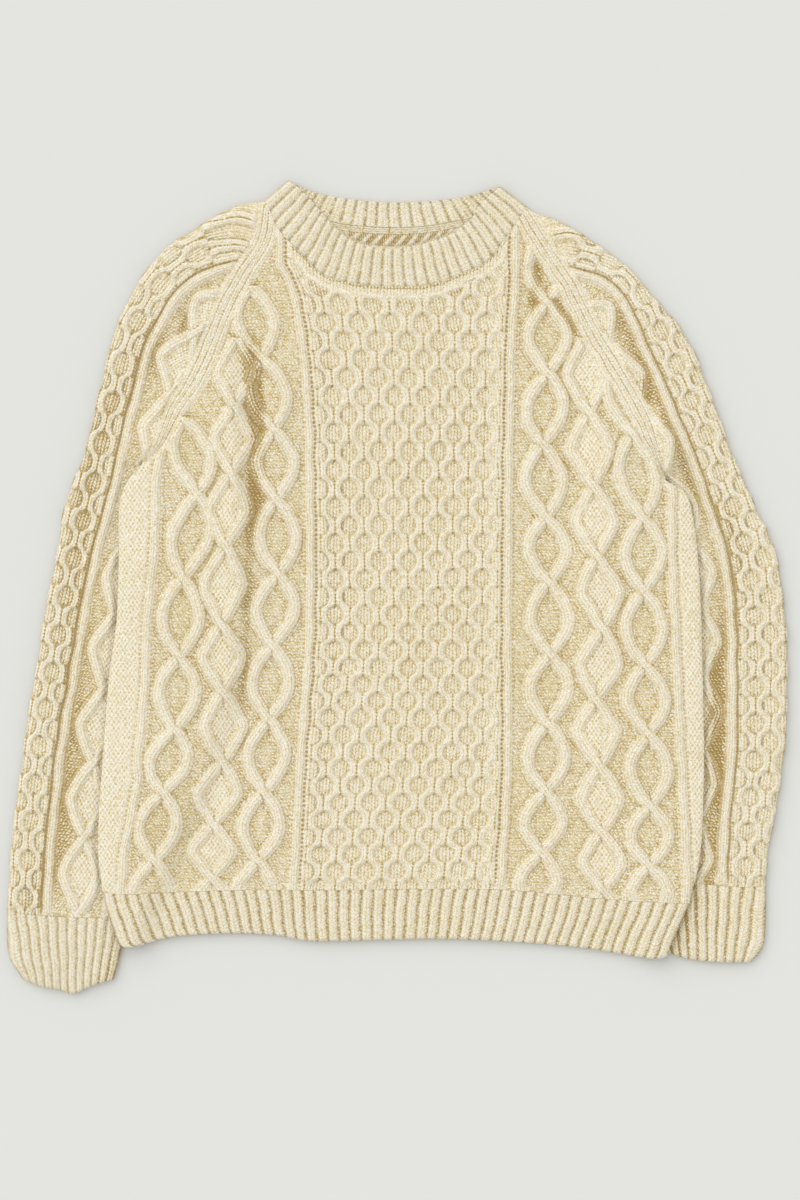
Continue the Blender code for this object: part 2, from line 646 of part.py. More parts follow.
def comb_points():
    """Backs, slits and pits of the honeycomb, row by row."""
    found = []
    rows = np.array(COMB_ROWS)
    for row in np.arange(rows[0, 0], rows[-1, 0] + 0.5, 0.5):
        y = np.interp(row, rows[:, 0], rows[:, 1])
        left, right = LINES["inner_left"](y), LINES["inner_right"](y)
        spacing = (right - left - 2 * COMB_MARGIN) / COMB_ROPES
        lean = COMB_SHIFT * np.cos(np.pi * row)
        for k in range(COMB_ROPES):
            middle = k + 0.5 + (-1 if k % 2 == 0 else 1) * lean
            found.append((left + COMB_MARGIN + middle * spacing, y))
        if row % 1 == 0:
            for k in range(0 if row % 2 else 1, COMB_ROPES + 1, 2):
                found.append((left + COMB_MARGIN + k * spacing, y))
    return np.array(found)


def border_points():
    found = []
    for name, line in LINES.items():
        top = BORDERS[name][0][1]
        y = np.arange(HEM_TOP, top, BORDER_STEP)
        for side in (0, -1, 1):
            found.append(np.column_stack([line(y) + side * (RIB_ROPE_HALF + 0.2), y]))
    return np.vstack(found)


def raglan_points(seam, side):
    line = smooth(seam, 10.0)
    run = np.linalg.norm(np.diff(line, axis=0), axis=1).sum()
    along = np.arange(4.0, run - 2, 12.0)
    return np.vstack([beside(line, along, np.full(len(along), side * off)) for off in (8.0, 16.5)])


def knitted_front():
    outline = inset(body_outline(NECK_FRONT, HEM_SEAM), SEAM_GAP)
    cables = np.vstack([cable.points(CABLE_STEP) for cable in FRONT_CABLES])
    raglans = np.vstack([raglan_points(RAGLAN_LEFT, -1), raglan_points(RAGLAN_RIGHT, 1)])
    found = np.vstack([fold_points(outline, SIDES), comb_points(), border_points(), cables, raglans,
                       lattice(FIELD_STEP)])
    found = thinned(found, WORKED_APART)
    found = found[within(found, outline, RIM_MARGIN)]

    def under(x, y):
        return UPPER_FOOT + lift(x, y)

    def top(x, y):
        full = rounding(x, y, SIDES)
        return under(x, y) + EDGE + full * (WALL - EDGE + front_relief(x, y))

    return sheet(outline, found, top, under, plain_points(outline, PLAIN_STEP))


def knitted_back():
    outline = inset(body_outline(NECK_BACK, HEM_SEAM), SEAM_GAP)
    found = thinned(np.vstack([fold_points(outline, SIDES), slope_points(), lattice(PLAIN_STEP)]), 6.0)
    found = found[within(found, outline, RIM_MARGIN)]

    def top(x, y):
        return LOWER_TOP + lift(x, y)

    def under(x, y):
        return top(x, y) - EDGE - rounding(x, y, SIDES) * (LOWER_TOP - EDGE)

    return turned_over(sheet(outline, found, lambda x, y: -under(x, y), lambda x, y: -top(x, y),
                             plain_points(outline, PLAIN_STEP)))


def turned_over(solid):
    points, faces = solid
    return points * (1, 1, -1), faces[:, ::-1]


def rib_points(top_line, foot_line, count, rows=(0.06, 0.5, 0.94)):
    """Backs and grooves of vertical ribs between two lines."""
    found = []
    for row in rows:
        t = (np.arange(2 * count) + 0.5) / (2 * count)
        found.append(between(top_line, foot_line, t, np.full(len(t), row)))
    return np.vstack(found)


def between(top_line, foot_line, t, row):
    upper, lower = spaced(top_line, 2.0), spaced(foot_line, 2.0)
    a = np.column_stack([np.interp(t, np.linspace(0, 1, len(upper)), upper[:, i]) for i in (0, 1)])
    b = np.column_stack([np.interp(t, np.linspace(0, 1, len(lower)), lower[:, i]) for i in (0, 1)])
    return a + (b - a) * row[:, None]


def rib_relief(points, top_line, foot_line, count):
    """Ribs along lines from the top line to the foot line, at the nearest of them."""
    t = (np.arange(2 * count) + 0.5) / (2 * count)
    best, high = np.full(len(points), 1e9), np.zeros(len(points))
    for k, place in enumerate(t):
        spoke = between(top_line, foot_line, np.full(2, place), np.array([0.0, 1.0]))
        _, off = project(points, spoke)
        closer = np.abs(off) < best
        high[closer] = RIB_HIGH if k % 2 == 0 else 0.0
        best = np.minimum(best, np.abs(off))
    return high


def hem_outline():
    return joined(curve(HEM_END_LEFT, SHORT_CURVE_STEP), curve(HEM_EDGE),
                  curve(HEM_END_RIGHT, SHORT_CURVE_STEP)[::-1], curve(HEM_SEAM)[::-1])


def front_hem():
    outline = inset(hem_outline(), SEAM_GAP)
    seam, edge = curve(HEM_SEAM), curve(HEM_EDGE)
    ribs = rib_points(seam, edge, HEM_RIBS)
    found = thinned(np.vstack([fold_points(outline, SIDES), ribs]), RIBS_APART)
    found = found[within(found, outline, RIM_MARGIN)]

    def under(x, y):
        return UPPER_FOOT + lift(x, y)

    def top(x, y):
        ribbed = rib_relief(np.column_stack([x, y]), seam, edge, HEM_RIBS)
        full = rounding(x, y, SIDES)
        return under(x, y) + EDGE + full * (WALL - EDGE + ribbed + fold_relief(x, y))

    return sheet(outline, found, top, under, plain_points(outline, PLAIN_STEP))


def back_hem():
    outline = inset(hem_outline(), SEAM_GAP)
    found = thinned(fold_points(outline, SIDES), WORKED_APART)
    found = found[within(found, outline, RIM_MARGIN)]

    def top(x, y):
        return LOWER_TOP + lift(x, y)

    def under(x, y):
        return top(x, y) - EDGE - rounding(x, y, SIDES) * (LOWER_TOP - EDGE)

    return turned_over(sheet(outline, found, lambda x, y: -under(x, y), lambda x, y: -top(x, y),
                             plain_points(outline, PLAIN_STEP)))


BODY_SIDES = {side: smooth(table, MEASURE_STEP) for side, table in (("left", SIDE_LEFT), ("right", SIDE_RIGHT))}


def sleeve(side):
    """One sleeve: a flattened tube from the raglan to the cuff seam."""
    left = side == "left"
    out = SLEEVE_OUT_LEFT if left else SLEEVE_OUT_RIGHT
    inside = SLEEVE_IN_LEFT if left else SLEEVE_IN_RIGHT
    seam = CUFF_SEAM_LEFT if left else CUFF_SEAM_RIGHT
    raglan = RAGLAN_LEFT if left else RAGLAN_RIGHT
    neck = np.array([raglan[0], out[0]], float)
    rope = SLEEVE_ROPE_LEFT if left else SLEEVE_ROPE_RIGHT
    outward = 1 if left else -1
    lines = (curve(out), curve(seam), curve(inside)[::-1], curve(raglan)[::-1], neck)
    fold = np.concatenate([np.full(len(line) - 1, i in (0, 2)) for i, line in enumerate(lines)])
    outline = inset(joined(*lines), SEAM_GAP)
    folds = fold_lines(outline, fold)
    body_side = BODY_SIDES[side]
    raglan_line = smooth(raglan, 8.0)

    rope_line = smooth(rope, MEASURE_STEP)
    run = np.linalg.norm(np.diff(rope_line, axis=0), axis=1).sum()
    found = [fold_points(outline, folds)]
    along = np.arange(4.0, run, BORDER_STEP)
    for off in (0.0, -RIB_ROPE_HALF, RIB_ROPE_HALF):
        found.append(beside(rope_line, along, np.full(len(along), outward * off)))
    found.append(sleeve_comb_points(rope_line, side))
    along = np.arange(6.0, run, CABLE_STEP)
    swing = sleeve_swing(along, side)
    for way in (-1, 1):
        for edge in (0, -ROPE_HALF, ROPE_HALF):
            found.append(beside(rope_line, along, -outward * (SLEEVE_DIAMOND_SIDE + way * swing + edge)))
    found.append(raglan_points(raglan, outward))
    found.append(lattice(FIELD_STEP))
    found = np.vstack(found)
    found = found[within(found, outline, RIM_MARGIN)]
    shown = showing(found, side) > -UNDER_BODY
    found = np.vstack([found[shown], lattice(SLEEVE_PLAIN_STEP)])
    found = thinned(found, WORKED_APART)
    found = found[within(found, outline, RIM_MARGIN)]

    def top(x, y):
        points = np.column_stack([x, y])
        bare = ease(showing(points, side) / BARE_FADE)
        _, from_raglan = project(points, raglan_line)
        _, from_side = project(points, body_side)
        swell = lift_at_raglan(y) * ease(1 - np.abs(from_raglan) / SWELL_REACH)
        swell *= ease(np.abs(from_side) / SWELL_FOOT) * bare
        relief = sleeve_relief(x, y, rope, side, raglan) * bare
        return MIDDLE + rounding(x, y, folds) * (UPPER_FOOT - MIDDLE + WALL + relief + swell)

    return tube(outline, fold, found, top, SLEEVE_PLAIN_STEP, WALL)


def lift_at_raglan(y):
    return LIFT * ease((DRAPE_TOP - y) / (DRAPE_TOP - DRAPE_FULL))


def showing(points, side):
    """How far a point lies outside the body's edge: below 0 where the body covers it."""
    edge = np.vstack([curve(RAGLAN_LEFT if side == "left" else RAGLAN_RIGHT), BODY_SIDES[side][1:]])
    _, off = project(points, edge)
    return off if side == "left" else -off


def sleeve_comb_points(rope_line, side):
    """Backs, slits and pits of a sleeve's honeycomb, row by row."""
    rows = np.array(SLEEVE_PATTERN[side]["rows"])
    outward = 1 if side == "left" else -1
    found = []
    for row in np.arange(rows[0, 1], rows[-1, 1], 0.5):
        lean = COMB_SHIFT * np.cos(np.pi * row)
        middles = [k + 0.5 + (-1 if k % 2 == 0 else 1) * lean for k in range(SLEEVE_COMB_ROPES)]
        slits = list(range(0 if row % 2 else 1, SLEEVE_COMB_ROPES, 2)) if row % 1 == 0 else []
        offs = SLEEVE_COMB_MARGIN + np.array(middles + slits) * SLEEVE_PATTERN[side]["spacing"]
        along = np.full(len(offs), np.interp(row, rows[:, 1], rows[:, 0]))
        found.append(beside(rope_line, along, outward * offs))
    return np.vstack(found)


def cuff(side):
    left = side == "left"
    seam = curve(CUFF_SEAM_LEFT if left else CUFF_SEAM_RIGHT, SHORT_CURVE_STEP)
    out = curve(CUFF_OUT_LEFT if left else CUFF_OUT_RIGHT, SHORT_CURVE_STEP)
    edge = curve(CUFF_EDGE_LEFT if left else CUFF_EDGE_RIGHT, SHORT_CURVE_STEP)
    inside = curve(CUFF_IN_LEFT if left else CUFF_IN_RIGHT, SHORT_CURVE_STEP)
    lines = (out, edge, inside[::-1], seam[::-1])
    fold = np.concatenate([np.full(len(line) - 1, i in (0, 2)) for i, line in enumerate(lines)])
    outline = inset(joined(*lines), SEAM_GAP)
    folds = fold_lines(outline, fold)
    found = np.vstack([fold_points(outline, folds), rib_points(seam, edge, CUFF_RIBS)])
    found = thinned(found, RIBS_APART)
    found = found[within(found, outline, RIM_MARGIN)]
    hem_corner = curve(HEM_END_LEFT if left else HEM_END_RIGHT, MEASURE_STEP)

    def top(x, y):
        points = np.column_stack([x, y])
        _, off = project(points, hem_corner)
        bare = ease(off * (1 if left else -1) / BARE_FADE)
        ribbed = rib_relief(points, seam, edge, CUFF_RIBS) * bare
        return MIDDLE + rounding(x, y, folds) * (UPPER_FOOT - MIDDLE + WALL + ribbed)

    return tube(outline, fold, found, top, CUFF_PLAIN_STEP, WALL)


def neckband():
    """A ring of ribbing, flattened: its front half lies over its back half."""
    ends = [np.array(table, float) for table in (BAND_END_LEFT, BAND_END_RIGHT)]
    front_seam = np.vstack([ends[0][:1], smooth(NECK_FRONT, 4.0), ends[1][:1]])
    back_seam = np.vstack([ends[0][:1], smooth(NECK_BACK, 4.0), ends[1][:1]])
    front_edge, back_edge = smooth(BAND_EDGE_FRONT, 4.0), smooth(BAND_EDGE_BACK, 4.0)
    heights = (0.0, 0.5, 1.0)
    sections = []
    for front, seam, edge, ribs in ((True, front_seam, front_edge, BAND_FRONT_RIBS),
                                    (False, back_seam, back_edge, BAND_BACK_RIBS)):
        evenly = (np.arange(2 * ribs) + 0.75) / (2 * ribs + 0.5)
        columns = np.concatenate([[0.0, BAND_END_SHARE], evenly, [1 - BAND_END_SHARE]])
        columns = columns if front else 1 - columns
        for k, t in enumerate(columns):
            at_end = k in (0, 1, len(columns) - 1)
            rib = 0.0 if at_end or k % 2 else RIB_HIGH
            line = [between(seam, edge, np.array([t]), np.array([v]))[0] for v in heights]
            line = set_back(line)
            if k == 0:
                inner = [point + (WALL if front else -WALL) * np.array([1.0, 0.0]) for point in line]
                section = [(*p, MIDDLE) for p in line] + [(*p, MIDDLE) for p in inner[::-1]]
            elif front:
                outer = UPPER_FOOT + (BAND_END_THICK if at_end else WALL + rib)
                section = [(*p, outer) for p in line] + [(*p, UPPER_FOOT) for p in line[::-1]]
            else:
                outer = LOWER_TOP - BAND_END_THICK if at_end else 0.0
                section = [(*p, outer) for p in line] + [(*p, LOWER_TOP) for p in line[::-1]]
            sections.append(section)
    return loop_of(sections)


def set_back(line):
    """Both ends of a short line drawn in from the seams."""
    way = (line[-1] - line[0]) / np.linalg.norm(line[-1] - line[0])
    return [line[0] + way * 2 * SEAM_GAP, line[1], line[-1]]


def loop_of(sections):
    """A closed ring from cross-sections with equal numbers of points."""
    points = np.array(sections, float)
    count, size = points.shape[:2]
    index = np.arange(count * size).reshape(count, size)
    ahead = np.roll(index, -1, axis=0)
    a, b, c, d = index, np.roll(index, -1, axis=1), np.roll(ahead, -1, axis=1), ahead
    faces = np.vstack([np.stack([a, b, c], axis=2).reshape(-1, 3), np.stack([a, c, d], axis=2).reshape(-1, 3)])
    return points.reshape(-1, 3), faces


def facing_out(points, faces):
    """The faces, turned round if the solid is inside out."""
    a, b, c = (points[faces[:, i]] for i in range(3))
    volume = (a * np.cross(b, c)).sum()
    return faces if volume > 0 else faces[:, ::-1]


PIECES = {
    "front": (knitted_front, CREAM),
    "back": (knitted_back, CREAM),
    "left_sleeve": (lambda: sleeve("left"), CREAM),
    "right_sleeve": (lambda: sleeve("right"), CREAM),
    "neckband": (neckband, CREAM_RIB),
    "front_hem_rib": (front_hem, CREAM_RIB),
    "back_hem_rib": (back_hem, CREAM_RIB),
    "left_cuff": (lambda: cuff("left"), CREAM_RIB),
    "right_cuff": (lambda: cuff("right"), CREAM_RIB),
}


def main():
    for old in list(bpy.data.objects):
        bpy.data.objects.remove(old)
    made = {name: make() for name, (make, _) in PIECES.items()}
    reach = np.vstack([points for points, _ in made.values()])
    middle = (reach.max(axis=0) + reach.min(axis=0)) / 2
    origin = np.array([middle[0], middle[1], reach[:, 2].min()])
    print("origin moved by", origin.round(3), "mm; size", (reach.max(axis=0) - reach.min(axis=0)).round(1))
    for name, (points, faces) in made.items():
        faces = facing_out(points, faces)
        print(name, len(faces), "triangles")
        object_from(name, points - origin, faces, PIECES[name][1], WOOL_ROUGH)


main()
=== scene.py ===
# %% [markdown]
# # A cable knit sweater, laid flat
#
# This script dresses them: it knits the finer form into thin shells that lie on those solids, gives the
# wool its look, and sets the light and camera. Every size is in millimetres, x to the right, y towards the
# neck and z up, until a mesh is written in metres.

import bpy
import numpy as np
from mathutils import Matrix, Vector
from mathutils.geometry import delaunay_2d_cdt


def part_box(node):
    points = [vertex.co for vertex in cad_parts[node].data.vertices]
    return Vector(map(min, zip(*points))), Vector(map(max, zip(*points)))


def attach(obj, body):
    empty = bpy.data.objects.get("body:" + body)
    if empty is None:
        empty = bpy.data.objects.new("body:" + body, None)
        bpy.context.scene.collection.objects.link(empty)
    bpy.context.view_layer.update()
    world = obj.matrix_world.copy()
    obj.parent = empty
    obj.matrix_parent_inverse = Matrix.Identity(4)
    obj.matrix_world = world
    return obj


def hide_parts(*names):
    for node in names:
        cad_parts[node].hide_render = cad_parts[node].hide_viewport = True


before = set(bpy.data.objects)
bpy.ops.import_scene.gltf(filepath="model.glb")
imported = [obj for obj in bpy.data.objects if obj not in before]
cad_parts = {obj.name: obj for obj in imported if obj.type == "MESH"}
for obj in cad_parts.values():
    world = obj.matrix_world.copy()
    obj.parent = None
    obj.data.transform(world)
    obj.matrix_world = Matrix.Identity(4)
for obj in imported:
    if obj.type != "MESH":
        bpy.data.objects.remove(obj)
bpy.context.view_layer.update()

MM = 0.001

# %% [markdown]
# ## The cut of the sweater
#
# A knitted panel is described by its seams and folds. They are short tables here, each running from the
# neck down, and a Catmull-Rom curve joins the points. The same lines bound two neighbours, so that seams
# meet.

# %% Seams, folds and edges
RAGLAN = {
    "left": ((-120, 357), (-125, 326), (-145, 293), (-162, 261), (-173, 233), (-190, 196), (-210, 164),
             (-222, 135), (-240, 115)),
    "right": ((118, 351), (140, 315), (162, 281), (183, 240), (205, 203), (227, 164), (243, 125), (252, 100)),
}
SIDE = {
    "left": ((-240, 115), (-256, 93), (-261, 65), (-261, 25), (-263, -31), (-270, -84), (-274, -134),
             (-277, -175), (-280, -222), (-280, -253), (-276, -286)),
    "right": ((252, 100), (271, 87), (278, 62), (282, 30), (285, -17), (286, -51), (287, -101), (288, -151),
              (287, -206), (284, -253), (274, -297)),
}
HEM_END = {
    "left": ((-276, -286), (-271, -307), (-261, -334), (-255, -339)),
    "right": ((274, -297), (266, -315), (259, -331), (252, -348)),
}
HEM_SEAM = ((-276, -286), (-249, -288), (-150, -285), (-60, -285), (82, -284), (151, -289), (191, -293),
            (254, -296), (274, -297))
HEM_EDGE = ((-255, -339), (-239, -336), (-210, -329), (-170, -326), (-140, -326), (-111, -328), (-80, -333),
            (-11, -332), (42, -331), (112, -334), (171, -339), (230, -348), (252, -348))
NECK_FRONT = ((-120, 357), (-117, 347), (-109, 333), (-88, 311), (-69, 293), (-39, 285), (-2, 282), (31, 284),
              (53, 291), (85, 306), (102, 328), (118, 351))
NECK_BACK = ((-120, 357), (-91, 345), (-54, 336), (-25, 333), (3, 332), (31, 334), (59, 339), (92, 346),
             (118, 351))
BAND_END = {"left": ((-125, 363), (-102, 383)), "right": ((122, 358), (97, 377))}
BAND_EDGE_FRONT = ((-102, 383), (-87, 371), (-70, 352), (-52, 333), (-34, 323), (-12, 319), (9, 320),
                   (31, 325), (52, 333), (70, 347), (78, 360), (97, 377))
BAND_EDGE_BACK = ((-102, 383), (-87, 375), (-68, 369), (-35, 364), (3, 362), (50, 365), (75, 370), (97, 377))
SLEEVE_OUT = {
    "left": ((-125, 363), (-147, 360), (-170, 350), (-192, 337), (-218, 320), (-235, 300), (-248, 281),
             (-258, 261), (-268, 238), (-274, 213), (-280, 188), (-286, 164), (-293, 132), (-304, 103),
             (-314, 75), (-320, 39), (-326, 8), (-333, -25), (-339, -68), (-348, -118), (-353, -160),
             (-358, -191), (-362, -222), (-366, -269), (-367, -302)),
    "right": ((122, 358), (131, 352), (149, 346), (177, 331), (209, 309), (231, 287), (250, 265), (266, 246),
              (280, 223), (291, 195), (303, 164), (314, 132), (328, 100), (340, 71), (349, 55), (359, 25),
              (365, -17), (368, -51), (368, -118), (366, -151), (362, -182), (357, -214), (352, -238),
              (349, -260), (347, -281)),
}
SLEEVE_IN = {
    "left": ((-240, 115), (-204, 108), (-174, 91), (-161, 58), (-160, 16), (-166, -50), (-181, -125),
             (-206, -200), (-232, -261), (-253, -308)),
    "right": ((252, 100), (219, 91), (196, 70), (189, 39), (187, -12), (189, -69), (196, -144), (212, -214),
              (228, -257), (236, -275)),
}
CUFF_SEAM = {
    "left": ((-367, -302), (-354, -307), (-315, -310), (-274, -311), (-253, -308)),
    "right": ((347, -281), (322, -282), (284, -279), (236, -275)),
}
CUFF_OUT = {
    "left": ((-367, -302), (-367, -331), (-364, -350), (-352, -369)),
    "right": ((347, -281), (347, -300), (346, -330), (342, -343), (333, -353)),
}
CUFF_EDGE = {
    "left": ((-352, -369), (-335, -376), (-316, -379), (-305, -383), (-289, -376), (-267, -369)),
    "right": ((333, -353), (300, -353), (275, -350), (251, -343)),
}
CUFF_IN = {
    "left": ((-253, -308), (-259, -337), (-263, -355), (-267, -369)),
    "right": ((236, -275), (242, -313), (251, -343)),
}
# Where the body starts to slope down from the sleeve beneath it.
LIFT_LINE = {
    "left": ((-176, 260), (-165, 190), (-158, 120), (-152, 80), (-154, 20), (-158, -50), (-174, -125),
             (-199, -200), (-225, -261), (-246, -308), (-255, -360)),
    "right": ((206, 260), (199, 190), (190, 120), (184, 70), (180, 20), (180, -50), (188, -144),
              (204, -214), (222, -265), (238, -313), (246, -360)),
}
print("the hem's seam is a line of", len(HEM_SEAM), "points, the neck one of", len(NECK_FRONT))

# %% [markdown]
# ## What is knitted
#
# An Aran sweater is a set of vertical strips. The front has a honeycomb in the middle, between slim ropes,
# and on each side a wave cable, a diamond cable filled with moss stitch, another wave cable and a slim
# rope. A cable is given by its crossings: between two of them its ropes swing apart and come back.

# %% Cables, honeycomb and slim ropes
BORDERS = {
    "inner_left": ((-110, 303), (-98, 279), (-89, 232), (-83, 166), (-82, 101), (-82, -31), (-85, -97),
                   (-90, -163), (-97, -275), (-99, -290)),
    "inner_right": ((111, 307), (111, 279), (108, 232), (106, 166), (104, 101), (104, -31), (104, -163),
                    (97, -275), (96, -290)),
    "outer_left": ((-218, 138), (-225, 101), (-227, 35), (-234, -31), (-237, -97), (-243, -163), (-243, -187),
                   (-255, -249), (-258, -290)),
    "outer_right": ((254, 110), (258, 86), (258, 39), (261, -39), (265, -140), (272, -265), (273, -290)),
}
WAVE, DIAMOND = 17.5, 17.4  # how far the ropes part from their middle
CABLES = (
    {"swing": WAVE, "sharp": 0.0, "crossings": ((-127, 216), (-116, 149), (-114, 83), (-112, 12), (-117, -55),
                                                (-120, -124), (-125, -192), (-131, -257))},
    {"swing": WAVE, "sharp": 0.0, "crossings": ((141, 267), (142, 201), (137, 135), (140, 66), (142, 5),
                                                (144, -64), (142, -128), (140, -192), (135, -249))},
    {"swing": DIAMOND, "sharp": 0.75, "crossings": ((-153, 171), (-156, 107), (-161, 38), (-164, -35),
                                                    (-163, -97), (-164, -164), (-173, -223), (-174, -274))},
    {"swing": DIAMOND, "sharp": 0.75, "crossings": ((180, 164), (184, 95), (187, 29), (192, -38), (186, -106),
                                                    (190, -168), (192, -230), (194, -285))},
    {"swing": WAVE, "sharp": 0.0, "top": (-201, 159),
     "crossings": ((-187, 87), (-200, 9), (-204, -65), (-209, -133), (-220, -193), (-227, -256))},
    {"swing": WAVE, "sharp": 0.0, "crossings": ((220, 143), (231, 65), (231, -3), (232, -73), (235, -138),
                                                (237, -206), (237, -261))},
)
# Rows of the front's honeycomb and their heights.
COMB_ROWS = ((0, 282.0), (13, 57.6), (20, -60.0), (34, -283.0))
COMB_ROPES = 12
COMB_MARGIN = 9.6
SLEEVE_COMB_ROPES = 8
SLEEVE_COMB_MARGIN = 8.0
SLEEVE_ROPE = {
    "left": ((-152, 301), (-172, 296), (-199, 279), (-219, 252), (-235, 221), (-243, 188), (-251, 158),
             (-258, 125), (-266, 88), (-279, 42), (-291, -8), (-299, -51), (-307, -101), (-315, -151),
             (-321, -206), (-325, -238), (-328, -276), (-330, -306)),
    "right": ((158, 297), (185, 290), (203, 279), (217, 258), (230, 228), (245, 196), (258, 164), (272, 132),
              (285, 96), (298, 58), (308, 22), (313, -17), (315, -60), (315, -151), (311, -190), (307, -230),
              (305, -277)),
}
# Along each sleeve's slim rope: where one diamond is widest, a diamond's length, the spacing of the
# honeycomb's ropes, and its rows as (along, row).
SLEEVE_PATTERN = {
    "left": {"widest": 119.0, "diamond": 71.6, "spacing": 12.8,
             "rows": ((8, -5), (119, 1), (195, 5), (273, 9), (344, 13), (416, 17), (487, 21), (557, 25),
                      (663, 31))},
    "right": {"widest": 129.0, "diamond": 68.0, "spacing": 14.0,
              "rows": ((0, -4), (85, 1), (156, 5), (227, 9), (297, 13), (363, 17), (428, 21), (496, 25),
                       (562, 29), (630, 33))},
}
SLEEVE_DIAMOND_SIDE = 31.0
SLEEVE_DIAMOND_SWING = 17.0
SLEEVE_SHARP = 0.7  # how sharp the corners of a sleeve's diamonds are
SLEEVE_STRIPS = 54.0  # beyond this the sleeve is plain purl
HEM_RIBS, BAND_FRONT_RIBS, BAND_BACK_RIBS = 50, 28, 21
CUFF_RIBS = {"left": 12, "right": 10}  # of each layer
print(len(CABLES), "cables,", COMB_ROPES, "honeycomb ropes and", HEM_RIBS, "ribs in the hem")

# %% [markdown]
# ## Drawing with tables
#
# Blender's curve objects could join the points, but then each seam would have to be read back from an
# object. A few functions on number arrays are shorter: one draws the curve, one reads a line's x at a
# height, and one measures how far along a line a point lies and how far to its side.

# %% Curves
BATCH = 20000  # points measured at once, so that memory stays small


def steps_of(line):
    """How far each point of a line is from the one before."""
    return np.linalg.norm(np.diff(line, axis=0), axis=1)


def run_of(line):
    """How far along a line each of its points lies."""
    return np.concatenate([[0], np.cumsum(steps_of(line))])


def spaced(points, step):
    """The same line with its points an equal step apart."""
    points = np.array(points, float)
    run = run_of(points)
    at = np.linspace(0, run[-1], max(1, round(run[-1] / step)) + 1)
    return np.column_stack([np.interp(at, run, points[:, i]) for i in (0, 1)])


def smooth(points, step):
    """A Catmull-Rom curve through a table, its points about a step apart."""
    points = np.array(points, float)
    ends = np.vstack([2 * points[0] - points[1], points, 2 * points[-1] - points[-2]])
    t = np.linspace(0, 1, 24, endpoint=False)[:, None]
    dense = []
    for i in range(1, len(ends) - 2):
        before, a, b, after = ends[i - 1:i + 3]
        dense.append(a + 0.5 * t * ((b - before) + t * ((2 * before - 5 * a + 4 * b - after)
                                                        + t * (3 * (a - b) + after - before))))
    return spaced(np.vstack(dense + [points[-1:]]), step)


def across(table):
    """A function of y that gives the x of a line running from top to bottom."""
    line = smooth(table, 2.0)[::-1]
    return lambda y: np.interp(y, line[:, 1], line[:, 0])


def measured(points, line):
    """How far along a line each point lies, and how far off it: positive on its right."""
    start, step = line[:-1], np.diff(line, axis=0)
    length, run = steps_of(line), run_of(line)
    along, off = np.empty(len(points)), np.empty(len(points))
    for first in range(0, len(points), BATCH):
        rows = slice(first, first + BATCH)
        to = points[rows, None, :] - start[None]
        t = np.clip((to * step).sum(2) / length**2, 0, 1)
        apart = np.linalg.norm(to - t[..., None] * step, axis=2)
        near, each = apart.argmin(axis=1), np.arange(len(to))
        side = step[near, 1] * to[each, near, 0] - step[near, 0] * to[each, near, 1]
        along[rows] = run[near] + t[each, near] * length[near]
        off[rows] = apart[each, near] * np.where(side < 0, -1, 1)
    return along, off


def ease(x):
    """0 below 0, 1 above 1, and smooth between."""
    x = np.clip(x, 0, 1)
    return x * x * (3 - 2 * x)


def area(outline):
    """What a closed line encloses, above 0 where it turns left."""
    x, y = outline[:, 0], outline[:, 1]
    return 0.5 * np.sum(x * np.roll(y, -1) - np.roll(x, -1) * y)


print("the front's left raglan seam is", round(run_of(smooth(RAGLAN["left"], 4))[-1]), "mm long")

# %% [markdown]
# ## Outlines
#
# Each panel is one closed line of seams and folds. A panel stands back from its seams by a hair's breadth,
# so that two panels never share a face.

# %% Outlines of the panels
STEP = 1.25  # between the points of the worked faces
CURVE = 1.6  # between the points of an outline
SEAM_GAP = 0.06  # how far a panel stands back from a seam
SHARPEST = 0.35  # holds a mitre at a sharp corner to a sound length


def joined(*lines):
    """One closed outline from lines that follow each other end to end."""
    return np.vstack([np.asarray(line)[:-1] for line in lines])


def inset(outline, gap):
    """The outline moved inwards, each corner by its mitre."""
    edge = np.roll(outline, -1, axis=0) - outline
    edge /= np.linalg.norm(edge, axis=1)[:, None]
    normal = np.column_stack([-edge[:, 1], edge[:, 0]]) * np.sign(area(outline))
    both = normal + np.roll(normal, 1, axis=0)
    mitre = both / np.maximum((both**2).sum(axis=1)[:, None] / 2, SHARPEST)
    return outline + mitre * np.asarray(gap).reshape(-1, 1)


def body_outline(neck):
    """Round the front or the back, from the left end of its neck down the left side."""
    return joined(smooth(RAGLAN["left"], CURVE), smooth(SIDE["left"], CURVE), smooth(HEM_SEAM, CURVE),
                  smooth(SIDE["right"], CURVE)[::-1], smooth(RAGLAN["right"], CURVE)[::-1],
                  smooth(neck, CURVE)[::-1])


box_low, box_high = (np.array(corner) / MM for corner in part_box("front"))
FRONT_OUTLINE = inset(body_outline(NECK_FRONT), SEAM_GAP)
SHIFT = (FRONT_OUTLINE.max(axis=0) + FRONT_OUTLINE.min(axis=0) - (box_low + box_high)[:2]) / 2
print("the tables' origin lies", SHIFT.round(2), "mm from the frame's")

# %% [markdown]
# ## How high the cloth lies
#
# The sweater is two layers of knitting, each about 3 mm thick before its cables. The sleeves are bent down
# and their inner halves lie under the body's sides, so the body is lifted there and slopes back to the
# table. A fold rounds off over its last centimetre.

